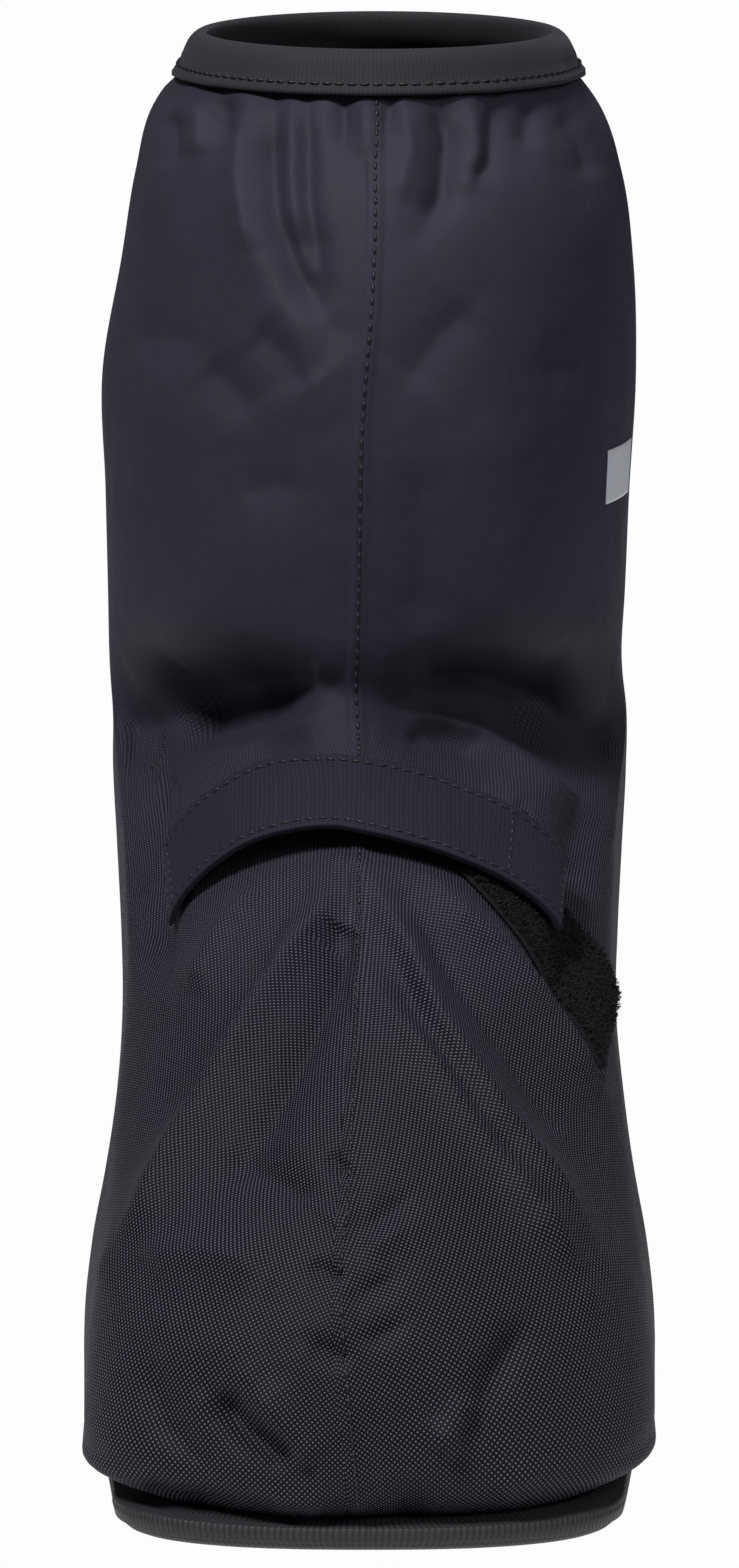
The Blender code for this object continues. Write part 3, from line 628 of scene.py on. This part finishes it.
def make_shell(smooth_skin, skin, material):
    """The shell as two panels sewn at the front and back, with their folds, and its wall."""
    spread = np.linspace(0.0, 1.0, SHELL_HALF_COLUMNS + 1)
    half = 0.42 * spread + 0.58 * spread**1.9
    shares = np.concatenate([-half[::-1], half[1:]])
    levels = np.linspace(0.0, 1.0, SHELL_ROWS)
    grid_levels, grid_shares = np.meshgrid(levels, shares, indexing="ij")
    around = np.array([np.interp(shares, skin.shares, row) for row in
                       (skin.around[int(round(v * (SKIN_LEVELS - 1)))] for v in levels)])
    points = skin.at(grid_shares, grid_levels, seam_welt(around, grid_levels))
    hem, top = (skin.at(shares, np.full(shares.shape, level), -SHELL_WALL) for level in (0.0, 1.0))
    points = np.concatenate([hem[None], points, top[None]])
    grids = (np.pad(grid, ((1, 1), (0, 0)), mode="edge") for grid in (grid_levels, grid_shares))
    grid_levels, grid_shares = grids
    rows, columns = points.shape[:2]
    uvs = []
    edge_lift = np.where(np.arange(rows) % (rows - 1) == 0, -SHELL_WALL, 0.0)[:, None]
    base = smooth_skin.at(grid_shares, grid_levels, edge_lift)
    middle = SHELL_HALF_COLUMNS
    picked = np.unique(np.append(np.arange(0, rows, PATTERN_STEP), rows - 1))
    for start, end in ((0, middle), (middle, columns - 1)):
        columns_used = np.unique(np.append(np.arange(start, end + 1, PATTERN_STEP), end))
        flat = flat_pattern(base[np.ix_(picked, columns_used)])
        part = np.zeros((rows, end - start + 1, 2))
        for k in range(2):
            by_row = np.array([np.interp(np.arange(rows), picked, line) for line in flat[..., k].T]).T
            used = np.arange(start, end + 1)
            part[..., k] = np.array([np.interp(used, columns_used, row) for row in by_row])
        uvs.append(np.stack([part[:-1, :-1], part[:-1, 1:], part[1:, 1:], part[1:, :-1]], axis=2))
    uvs = np.concatenate(uvs, axis=1).reshape(-1, 2)
    shell = add_piece("shell", points, grid_faces(rows, columns), material, uvs)
    weld(shell)
    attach(shell, "root")
    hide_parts("upper")


def make_lining(skin, material):
    """The shell's inner face, dark and plain."""
    levels = np.linspace(0.0, 1.0, LINING_ROWS)
    shares = np.linspace(1.0, -1.0, LINING_COLUMNS + 1)
    grid_levels, grid_shares = np.meshgrid(levels, shares, indexing="ij")
    inside = np.minimum(grid_levels, LINING_EASE_TOP - grid_levels)
    ease = LINING_EASE * np.clip(inside / LINING_EASE_FADE, 0.0, 1.0)
    points = skin.at(grid_shares, grid_levels, -SHELL_WALL - ease)
    lining = add_piece("lining", points, grid_faces(LINING_ROWS, LINING_COLUMNS + 1), material)
    weld(lining)
    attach(lining, "root")


def tube_faces(rings, run):
    """Faces and map places of closed rings, and their girth. Run is each ring's distance from the first."""
    count, around = rings.shape[:2]
    steps = np.linalg.norm(np.diff(rings, axis=1, append=rings[:, :1]), axis=2).mean(axis=0)
    girth = np.concatenate([[0.0], np.cumsum(steps)])
    faces, uvs = [], []
    for i in range(count - 1):
        low, high = i * around, (i + 1) * around
        for k in range(around):
            n = (k + 1) % around
            faces.append((low + k, low + n, high + n, high + k))
            uvs += [(girth[k], run[i]), (girth[k + 1], run[i])]
            uvs += [(girth[k + 1], run[i + 1]), (girth[k], run[i + 1])]
    return faces, uvs, girth


def closed_sweep(name, rings, material):
    """A solid strip whose closed cross-sections follow one another, with both ends shut."""
    rings = np.array(rings)
    run = walked(rings.mean(axis=1))
    faces, uvs, girth = tube_faces(rings, run)
    around = rings.shape[1]
    for first, order, end in ((0, 1, 0), ((len(rings) - 1) * around, -1, -1)):
        corners = [first + k for k in range(around)][::-order]
        faces.append(tuple(corners))
        uvs += [(girth[c - first], run[end]) for c in corners]
    return add_piece(name, rings, faces, material, uvs)


def ring_sweep(name, rings, material):
    """Rings one after another, each closed on itself, from the first to the last."""
    rings = np.array(rings)
    steps = np.linalg.norm(np.diff(rings, axis=0), axis=2).mean(axis=1)
    faces, uvs, girth = tube_faces(rings, np.concatenate([[0.0], np.cumsum(steps)]))
    return add_piece(name, rings, faces, material, uvs)


def sew(name, seams, material):
    """Rows of stitches as one mesh. A seam is a list of points and the outward normals there."""
    points, faces = [], []
    stations = ((0.0, 0.35, -0.5), (0.2, 1.0, 0.5), (0.8, 1.0, 0.5), (1.0, 0.35, -0.5))
    sides = 6
    for path, normals in seams:
        passed = walked(path)

        def met(values, place):
            return np.array([np.interp(place, passed, values[:, k]) for k in range(3)])

        for start in np.arange(STITCH_PITCH / 2, passed[-1] - STITCH_LENGTH, STITCH_PITCH):
            begin = met(path, start)
            forward = met(path, start + STITCH_LENGTH) - begin
            up = met(normals, start)
            aside = unit(np.cross(up, forward))
            first = len(points)
            for share, fat, lift in stations:
                centre = begin + forward * share + up * lift * STITCH_RADIUS
                for k in range(sides):
                    turn = 2 * math.pi * k / sides
                    spoke = aside * math.cos(turn) + up * math.sin(turn)
                    points.append(centre + fat * STITCH_RADIUS * spoke)
            for i in range(len(stations) - 1):
                for k in range(sides):
                    n = (k + 1) % sides
                    low = first + i * sides
                    faces.append((low + k, low + n, low + sides + n, low + sides + k))
    piece = add_piece(name, points, faces, material)
    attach(piece, "root")
    return piece


def seam_on(skin, around, level, lift):
    """A seam's points and normals on the shell, at distances from the front seam and levels."""
    low = skin.beside_seam(around, level, lift)
    high = skin.beside_seam(around, level, lift + MM)
    return low, (high - low) / MM


def make_front_topstitch(skin, material):
    """The row of stitches that holds the front seam's allowance down."""
    level = np.linspace(0.012, NECK_LEVELS[0] - 0.002, 600)
    around = np.full(level.shape, TOPSTITCH_INSET)
    piece = sew("front_topstitch", [seam_on(skin, around, level, seam_welt(around, level))], material)


def neck_ring(skin, out, up):
    """A ring of the collar band: out from the shell's face and up from its top edge, in metres."""
    shares = np.linspace(-1.0, 1.0, RING_POINTS, endpoint=False)
    low, high = (skin.at(shares, level) for level in NECK_LEVELS)
    outward = skin.at(shares, NECK_LEVELS[1], 1.0) - high
    outward[:, 2] = 0.0
    outward = unit(outward)
    turn = shares * math.pi
    wave = 0.35 * np.sin(13 * turn + 0.4) + 0.25 * np.sin(22 * turn + 1.9)
    low_share = np.clip(-up / BAND_LAP, 0.0, 1.0)
    wavy = 0.0004 * wave[:, None] * low_share
    return low + (high - low) * (1 + up / BAND_LAP) + outward * (out + wavy)


def make_collar_band(skin, elastic, thread):
    """The elastic binding folded over the shell's top edge, with its stitched lower edge."""
    inner = -(SHELL_WALL + SEWN_GAP)
    outer = SEWN_GAP
    fold = [(math.cos(a), math.sin(a)) for a in np.linspace(0.0, math.pi, 13)]
    centre = (outer + inner) / 2
    reach = (outer - inner) / 2 + BAND_THICKNESS
    face, foot = outer + BAND_THICKNESS, -BAND_LAP
    profile = [(outer, foot), (face + BAND_LIP * 0.6, foot - 0.0002), (face + BAND_LIP, foot + 0.0006)]
    profile += [(face + BAND_LIP * 0.5, foot + 0.0014), (face - 0.00015, foot + BAND_STITCH_UP)]
    profile += [(face + 0.0001, -0.0028)]
    profile += [(centre + reach * c, s * (BAND_RISE + MM) - MM) for c, s in fold]
    profile += [(inner - BAND_THICKNESS, foot), (inner, foot), (inner, 0.0), (outer, 0.0), (outer, foot)]
    rings = [neck_ring(skin, out, up) for out, up in profile]
    band = ring_sweep("collar_binding", rings, elastic)
    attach(band, "root")
    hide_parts("collar_band")
    path = neck_ring(skin, face + 0.0001, foot + BAND_STITCH_UP)
    away = unit(neck_ring(skin, face + MM, foot + BAND_STITCH_UP) - path)
    path, away = (np.concatenate([v, v[:1]]) for v in (path, away))
    piece = sew("collar_stitches", [(path, away)], thread)


def sole_outline(inset, count):
    """Points round the sole from the toe's tip over the outer side to the heel and back, evenly in turn."""
    turn = np.linspace(0.0, 2 * math.pi, count, endpoint=False)
    along = (1 - np.cos(turn)) / 2
    plan = sole_plan(inset)
    side = np.where(turn <= math.pi, half_width(plan, along, 1), -half_width(plan, along, -1))
    reach = TOE_OVERHANG + inset
    return np.column_stack([side, reach + along * (FOOT_LENGTH - 2 * reach)])


def make_sole(material):
    """The rubberised sole: a tray with a ribbed side, a turned ledge and a rim sewn to the shell."""
    round_turns = np.linspace(0.0, math.pi / 2, 6)
    edge = [(SOLE_UNDERCUT * (1 - math.sin(a)), SOLE_EDGE_ROUND * (1 - math.cos(a))) for a in round_turns]
    side = SOLE_SIDE + SOLE_LIP
    profile = [(SOLE_LEDGE + SOLE_RIM_WIDTH, SOLE_FLOOR), (SOLE_LEDGE + SOLE_RIM_WIDTH, SOLE_RIM_HEIGHT)]
    profile += [(SOLE_LEDGE, SOLE_RIM_HEIGHT), (SOLE_LEDGE * 0.6, SOLE_RIM_HEIGHT - 0.0012)]
    profile += [(0.0006 - SOLE_FLARE, side + 0.0002), (0.0002 - SOLE_FLARE, side - 0.0003)]
    profile += [(0.0003 - SOLE_FLARE, side - 0.0011), (-SOLE_FLARE, side - 0.0016)]
    profile += [(-SOLE_FLARE * 0.7, SOLE_SIDE / 2), *edge[::-1], (SOLE_UNDERCUT * 1.6, 0.0)]
    rings = []
    for inset, up in profile:
        outline = sole_outline(inset, SOLE_COLUMNS)
        height = up + sole_rest(outline[:, 1]) * (1 - up / SOLE_RIM_HEIGHT)
        rings.append(np.column_stack([outline, height]))
    sole = ring_sweep("rubberised_sole", rings, material)
    body = bmesh.new()
    body.from_mesh(sole.data)
    bmesh.ops.holes_fill(body, edges=[e for e in body.edges if e.is_boundary], sides=0)
    bmesh.ops.triangulate(body, faces=[f for f in body.faces if len(f.verts) > 4])
    body.to_mesh(sole.data)
    body.free()
    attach(sole, "root")
    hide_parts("sole")


def strap_solid(name, skin, start, end, half, seat, thickness, edge_round, material):
    """A strip along the strap's run, with rounded edges and stitch grooves, seated by share of the run."""
    reach = STRAP_MEDIAL_REACH + STRAP_LATERAL_REACH
    across = half * np.sin(np.linspace(-math.pi / 2, math.pi / 2, 27))
    crown = np.clip((np.abs(across) - (half - edge_round)) / edge_round, 0.0, 1.0)
    top = thickness / 2 * np.sqrt(1 - crown**2)
    off_groove = (half - STRAP_STITCH_INSET - np.abs(across)) / STRAP_GROOVE_WIDTH
    groove = STRAP_GROOVE * np.exp(-(off_groove**2))
    upper = [(a, thickness / 2 + t - g) for a, t, g in zip(across, top, groove)]
    lower = [(a, thickness / 2 - t) for a, t in list(zip(across, top))[-2:0:-1]]
    slit = half - edge_round / 2
    profile = [(-slit, thickness / 2), *upper[1:-1], (slit, thickness / 2), *lower]
    aside, lifts = (np.array(column) for column in zip(*profile))
    rings = []
    for run in np.linspace(start, end, STRAP_RUNS):
        share = run / reach
        shut = min(1.0, 0.35 + min(run - start, end - run) / 0.0012)
        lift = seat(share) + thickness / 2 + (lifts - thickness / 2) * shut
        level = strap_middle(share) + aside / skin.front_length
        rings.append(skin.beside_seam(run - STRAP_MEDIAL_REACH, level, lift))
    piece = closed_sweep(name, rings, material)
    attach(piece, "root")
    return piece


def make_strap(skin, fabric, tape, thread):
    """The strap over the instep with its stitching, and the hook patch under its outer end."""
    reach = STRAP_MEDIAL_REACH + STRAP_LATERAL_REACH
    hook_seat = LOOP_LIFT + LOOP_THICKNESS + SEWN_GAP
    closed_seat = hook_seat + HOOK_THICKNESS + SEWN_GAP

    def seat(share):
        climb = np.interp(share, STRAP_CLIMBS, (LOOP_LIFT, closed_seat))
        return climb + STRAP_LIFT * math.sin(math.pi * min(share / STRAP_LANDS, 1.0)) ** 2

    strap = strap_solid("strap_webbing", skin, 0.0, reach, STRAP_WIDTH / 2, seat, STRAP_THICKNESS,
                        STRAP_EDGE_ROUND, fabric)
    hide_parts("instep_strap")
    hook = strap_solid("hook_tape", skin, reach - HOOK_INSET - HOOK_LENGTH, reach - HOOK_INSET,
                       STRAP_WIDTH / 2 - HOOK_INSET, lambda share: hook_seat, HOOK_THICKNESS,
                       HOOK_EDGE_ROUND, tape)
    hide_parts("hook_patch")
    half = STRAP_WIDTH / 2 - STRAP_STITCH_INSET
    near, far, box = STRAP_END_STITCH, reach - STRAP_END_STITCH, reach - HOOK_LENGTH - STRAP_BOX_STITCH

    def row(runs, asides):
        runs, asides = np.broadcast_arrays(np.asarray(runs, float), np.asarray(asides, float))
        lift = np.array([seat(r / reach) for r in runs]) + STRAP_THICKNESS - 0.0002
        level = strap_middle(runs / reach) + asides / skin.front_length
        return seam_on(skin, runs - STRAP_MEDIAL_REACH, level, lift)

    long = np.linspace(near, far, 200)
    short = np.linspace(-half, half, 30)
    seams = [row(long, half), row(long, -half)]
    seams += [row(run, short) for run in (far, box, near, STRAP_SECOND_STITCH)]
    sew("strap_stitches", seams, thread)


def loop_place(skin, down, across):
    """Distance from the front seam, and level, of a place on the loop strip."""
    top, run, side = loop_axes(skin.front_length)
    place = top + run * np.asarray(down)[..., None] + side * np.asarray(across)[..., None]
    return place[..., 0], place[..., 1] / skin.front_length


def make_loop_strip(skin, tape, pile):
    """The loop tape sewn down the outer side, and its pile of loops, showing wear."""
    half = LOOP_WIDTH / 2
    across = half * np.sin(np.linspace(-math.pi / 2, math.pi / 2, 15))
    rise = LOOP_THICKNESS * 0.7 * np.sqrt(np.clip(1 - (across / half) ** 8, 0.0, 1.0))
    rings = []
    for down in np.linspace(0.0, LOOP_LENGTH, 80):
        around, level = loop_place(skin, np.full(across.shape, down), across)
        face = skin.beside_seam(around, level, LOOP_LIFT + rise)
        back = skin.beside_seam(around, level, LOOP_LIFT)[::-1][1:-1]
        rings.append(np.concatenate([face, back]))
    strip = closed_sweep("loop_tape", rings, tape)
    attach(strip, "root")
    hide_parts("loop_patch")
    chance = np.random.default_rng(7)
    down = chance.uniform(0.0005, LOOP_LENGTH - 0.0005, FUZZ_COUNT)
    aside = chance.uniform(-half + 0.0004, half - 0.0004, FUZZ_COUNT)
    around, level = loop_place(skin, down, aside)
    root = skin.beside_seam(around, level, LOOP_LIFT + LOOP_THICKNESS * 0.6)
    up = unit(skin.beside_seam(around, level, LOOP_LIFT + LOOP_THICKNESS * 0.6 + MM) - root)
    lean = unit(np.cross(up, chance.normal(size=(FUZZ_COUNT, 3))))
    side = np.cross(up, lean)
    tall = FUZZ_HEIGHT * chance.uniform(0.35, 1.0, FUZZ_COUNT)[:, None]
    stations = ((0.0, 0.0), (0.75, 0.15), (1.0, 0.5), (0.7, 0.85), (0.2, 0.95))
    points = []
    for rise_share, lean_share in stations:
        centre = root + up * tall * rise_share + lean * tall * lean_share
        points += [centre - side * FUZZ_WIDTH, centre + side * FUZZ_WIDTH]
    grid = np.stack(points, axis=1)
    count = 2 * len(stations)
    faces = [(i * count + 2 * k, i * count + 2 * k + 1, i * count + 2 * k + 3, i * count + 2 * k + 2)
             for i in range(FUZZ_COUNT) for k in range(len(stations) - 1)]
    fuzz = add_piece("loop_pile", grid, faces, pile)
    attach(fuzz, "root")


def make_reflective_bar(skin, film):
    """A plain reflective bar pressed on the shaft's outer side."""
    columns, rows = 25, 17
    around, level = np.meshgrid(np.linspace(*BAR_AROUND, columns), np.linspace(*BAR_LEVELS, rows))
    points = skin.beside_seam(around, level, BAR_LIFT)
    bar = add_piece("reflective_bar", points, grid_faces(rows, columns), film)
    thicken(bar, BAR_LIFT)
    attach(bar, "root")


def linear(hex_colour):
    """An sRGB hex value as linear red, green, blue and alpha."""
    channels = [int(hex_colour[i : i + 2], 16) / 255 for i in (0, 2, 4)]
    return [c / 12.92 if c <= 0.04045 else ((c + 0.055) / 1.055) ** 2.4 for c in channels] + [1.0]


def add_node(tree, kind, settings=None, links=None):
    """Adds a node: settings are its properties or the values of its sockets, and links feed its sockets."""
    made = tree.nodes.new("ShaderNode" + kind)
    for name, value in (settings or {}).items():
        if isinstance(name, str) and hasattr(made, name):
            setattr(made, name, value)
        else:
            made.inputs[name].default_value = value
    for name, source in (links or {}).items():
        tree.links.new(source, made.inputs[name])
    return made


def principled(name, colour, roughness, ior=1.5, specular=0.5, sheen=0.0, sheen_colour="ffffff"):
    """A material with its one surface shader, and the shader and tree for its pattern."""
    material = bpy.data.materials.new(name)
    material.use_nodes = True
    tree = material.node_tree
    shader = tree.nodes["Principled BSDF"]
    shader.inputs["Base Color"].default_value = linear(colour)
    shader.inputs["Roughness"].default_value = roughness
    shader.inputs["IOR"].default_value = ior
    shader.inputs["Specular IOR Level"].default_value = specular
    shader.inputs["Metallic"].default_value = 0.0
    shader.inputs["Sheen Weight"].default_value = sheen
    shader.inputs["Sheen Tint"].default_value = linear(sheen_colour)
    shader.inputs["Sheen Roughness"].default_value = 0.5
    return material, tree, shader


def blend(tree, share, low, high):
    """A colour between two hex colours, or between sockets, by a share."""
    mix = add_node(tree, "Mix", {"data_type": "RGBA"}, {0: share})
    for socket, colour in ((6, low), (7, high)):
        if isinstance(colour, str):
            mix.inputs[socket].default_value = linear(colour)
        else:
            tree.links.new(colour, mix.inputs[socket])
    return mix.outputs[2]


def waves(tree, pitch_across, pitch_along):
    """Two sine waves on the cloth's map, across it and along it, with their pitches in metres."""
    cloth = add_node(tree, "UVMap", {"uv_map": "cloth"})
    split = add_node(tree, "SeparateXYZ", links={"Vector": cloth.outputs["UV"]})
    made = []
    for axis, pitch in (("X", pitch_across), ("Y", pitch_along)):
        turn = add_node(tree, "Math", {"operation": "MULTIPLY", 1: math.pi / pitch},
                        {0: split.outputs[axis]})
        made.append(add_node(tree, "Math", {"operation": "SINE"}, {0: turn.outputs[0]}).outputs[0])
    return made


def product(tree, first, second):
    """Two values times each other."""
    return add_node(tree, "Math", {"operation": "MULTIPLY"}, {0: first, 1: second}).outputs[0]


def noise(tree, scale, detail=2.0):
    """Noise in the object's own space, with its scale in ripples to the metre."""
    place = add_node(tree, "TexCoord").outputs["Object"]
    return add_node(tree, "TexNoise", {"Scale": scale, "Detail": detail}, {"Vector": place}).outputs[0]


def relief(tree, shader, height, depth, strength=1.0):
    """Feeds a bump of a depth in metres to the surface."""
    bump = add_node(tree, "Bump", {"Strength": strength, "Distance": depth}, {"Height": height})
    tree.links.new(bump.outputs[0], shader.inputs["Normal"])


def shell_fabric():
    """Coated polyester in a plain weave: dull navy black, with a painted highlight on each crossing of threads.

    A thread is drawn 0.56 mm wide, a little coarser than the real 0.4 mm, so that it shows in the photo's
    view.
    The threads, with their painted highlights, fade up the shaft, where the cloth looks smooth.
    """
    material, tree, shader = principled("coated_polyester_weave", "20222c", 0.66, 1.5, 0.12, 0.02, "9aa0c0")
    across, along = waves(tree, WEAVE_PITCH, WEAVE_PITCH)
    height = product(tree, across, along)
    place = add_node(tree, "TexCoord")
    split = add_node(tree, "SeparateXYZ", links={"Vector": place.outputs["Object"]})
    # Going up the shaft, the weave's bump and its painted highlights fade out.
    weave_fade_up = add_node(tree, "MapRange", {1: 0.11, 2: 0.145, 3: 1.0, 4: 0.03}, {"Value": split.outputs["Z"]})
    threads = add_node(tree, "MapRange", {1: 0.1, 2: 0.9, 3: 0.0, 4: 1.0}, {"Value": height})
    weave_and_highlight = product(tree, threads.outputs[0], weave_fade_up.outputs[0])
    cloud = noise(tree, 40.0, 4.0)
    # The ground: on the foot near black, the cloth's own dark navy deepened as painted shade between the
    # threads; up the shaft an even lighter tone, where the painted highlights fade out.
    foot = blend(tree, cloud, "07080d", "0c0d14")
    shaft = blend(tree, cloud, "292934", "32323f")
    up = add_node(tree, "MapRange", {1: 0.09, 2: 0.17, 3: 0.0, 4: 1.0}, {"Value": split.outputs["Z"]})
    ground = blend(tree, up.outputs[0], foot, shaft)
    # Each thread crossing is painted lighter, 666875: a painted highlight of the threads' gloss.
    tree.links.new(blend(tree, weave_and_highlight, ground, "666875"), shader.inputs["Base Color"])
    soft = add_node(tree, "Bump", {"Strength": 0.7, "Distance": 0.0012}, {"Height": noise(tree, 70.0, 3.0)})
    fine = add_node(tree, "Bump", {"Strength": 1.0, "Distance": 0.0003},
                    {"Height": weave_and_highlight, "Normal": soft.outputs[0]})
    tree.links.new(fine.outputs[0], shader.inputs["Normal"])
    return material


def lining_coat():
    """The cloth's inner side with its waterproof coat: near black and slightly glossy."""
    material, tree, shader = principled("polyurethane_coated_lining", "1d1c21", 0.55, 1.5, 0.4)
    relief(tree, shader, noise(tree, 300.0), 0.0001)
    return material


def collar_elastic():
    """Knitted elastic binding: dull grey black with fine upright ribs."""
    material, tree, shader = principled("knitted_elastic_binding", "26262b", 0.8, 1.5, 0.3, 0.15, "8c8c98")
    across, along = waves(tree, 0.0009, 0.0009)
    ribs = add_node(tree, "Math", {"operation": "ABSOLUTE"}, {0: across}).outputs[0]
    tree.links.new(blend(tree, ribs, "1d1d22", "26262b"), shader.inputs["Base Color"])
    relief(tree, shader, ribs, 0.00006, 0.5)
    return material


def strap_fabric():
    """The shell's cloth, folded for the strap: smoother, with a fine slanting twill."""
    material, tree, shader = principled("folded_twill_strap", "24252f", 0.8, 1.5, 0.12, 0.03, "9aa0c0")
    across, along = waves(tree, 0.0005, 0.0005)
    twill = add_node(tree, "Math", {"operation": "ADD"}, {0: across, 1: along}).outputs[0]
    share = add_node(tree, "MapRange", {1: -2.0, 2: 2.0, 3: 0.0, 4: 1.0}, {"Value": twill}).outputs[0]
    tree.links.new(blend(tree, share, "1a1b23", "282934"), shader.inputs["Base Color"])
    relief(tree, shader, share, 0.00005, 0.4)
    return material


def fuzzy_tape(name, colour, sheen):
    """Brushed nylon tape or its pile: near black and furry, so light catches its rim."""
    material, tree, shader = principled(name, colour, 0.85, 1.53, 0.25, sheen, "7a7c88")
    tufts = noise(tree, 900.0, 3.0)
    tree.links.new(blend(tree, tufts, "08090d", colour), shader.inputs["Base Color"])
    relief(tree, shader, tufts, 0.0004)
    return material


def rubberised_fabric():
    """Rubber-coated sole cloth: matt black with fine upright ribs pressed round its side."""
    material, tree, shader = principled("rubber_coated_sole_cloth", "232227", 0.6, 1.52, 0.35)
    across, along = waves(tree, 0.0012, 0.0016)
    ribs = add_node(tree, "Math", {"operation": "ABSOLUTE"}, {0: across}).outputs[0]
    tree.links.new(blend(tree, ribs, "17161b", "2c2b30"), shader.inputs["Base Color"])
    relief(tree, shader, ribs, 0.00018, 0.8)
    return material


def sewing_thread():
    """Bonded polyester thread: black, with a soft shine that shows each stitch."""
    material, tree, shader = principled("bonded_polyester_thread", "0e0e14", 0.5, 1.55, 0.4)
    relief(tree, shader, noise(tree, 2500.0), 0.00005)
    return material


def reflective_film():
    """Retro-reflective film: silver grey with a fine grain of glass beads."""
    material, tree, shader = principled("glass_bead_reflective_film", "c8ccd4", 0.45, 1.9, 0.5)
    beads = noise(tree, 3000.0)
    tree.links.new(blend(tree, beads, "b4b8c0", "d8dbe2"), shader.inputs["Base Color"])
    relief(tree, shader, beads, 0.00003)
    return material


def make_camera():
    """The camera at the eye, looking down at the toe's side of the gaiter."""
    lens = bpy.data.cameras.new("camera")
    lens.sensor_width = SENSOR
    lens.lens = LENS
    lens.clip_end = 20.0
    camera = bpy.data.objects.new("camera", lens)
    camera.location = (0.0, -EYE_AHEAD - FOOT_LENGTH / 2, EYE_HEIGHT)
    camera.rotation_euler = (math.pi / 2 - math.atan(LOOK_SLOPE), 0.0, 0.0)
    bpy.context.scene.collection.objects.link(camera)
    bpy.context.scene.camera = camera


def add_light(name, place, aim, size, power):
    """A soft square lamp."""
    lamp = bpy.data.lights.new(name, "AREA")
    lamp.shape = "SQUARE"
    lamp.size = size
    lamp.energy = power
    body = bpy.data.objects.new(name, lamp)
    body.location = place
    body.rotation_euler = (Vector(aim) - Vector(place)).to_track_quat("-Z", "Y").to_euler()
    bpy.context.scene.collection.objects.link(body)


def make_studio():
    """A strip of overexposed white paper under and behind the gaiter, a dim room and soft lamps."""
    near, far, half, drop = -0.22, 3.8, 0.34, 0.0002
    corners = [(-half, near, -drop), (half, near, -drop), (half, far, -drop), (-half, far, -drop)]
    mesh = bpy.data.meshes.new("paper_sweep")
    mesh.from_pydata(corners, [], [(0, 1, 2, 3)])
    material, tree, shader = principled("overexposed_white_paper", "000000", 1.0, 1.5, 0.0)
    shader.inputs["Emission Color"].default_value = linear("fdfdfd")
    shader.inputs["Emission Strength"].default_value = 1.0
    mesh.materials.append(material)
    sweep = bpy.data.objects.new("paper_sweep", mesh)
    bpy.context.scene.collection.objects.link(sweep)
    world = bpy.data.worlds.new("studio")
    world.use_nodes = True
    world.node_tree.nodes["Background"].inputs["Color"].default_value = linear("f4f6ff")
    world.node_tree.nodes["Background"].inputs["Strength"].default_value = ROOM_LIGHT
    bpy.context.scene.world = world
    for name, place, size, power in LAMPS:
        add_light(name, place, (0.0, 0.0, 0.14), size, power)
    bpy.context.scene.view_settings.view_transform = "Standard"


make_camera()
make_studio()
plain_skin = Skin(folded=False)
skin = Skin(folded=True)
thread = sewing_thread()
make_shell(plain_skin, skin, shell_fabric())
make_lining(skin, lining_coat())
make_front_topstitch(skin, thread)
make_collar_band(plain_skin, collar_elastic(), thread)
make_sole(rubberised_fabric())
make_strap(plain_skin, strap_fabric(), fuzzy_tape("moulded_hook_tape", "1a1a20", 0.05), thread)
loop_tape = fuzzy_tape("brushed_loop_tape", "0c0c11", 0.05)
make_loop_strip(plain_skin, loop_tape, fuzzy_tape("loop_pile_nylon", "101117", 0.15))
make_reflective_bar(skin, reflective_film())
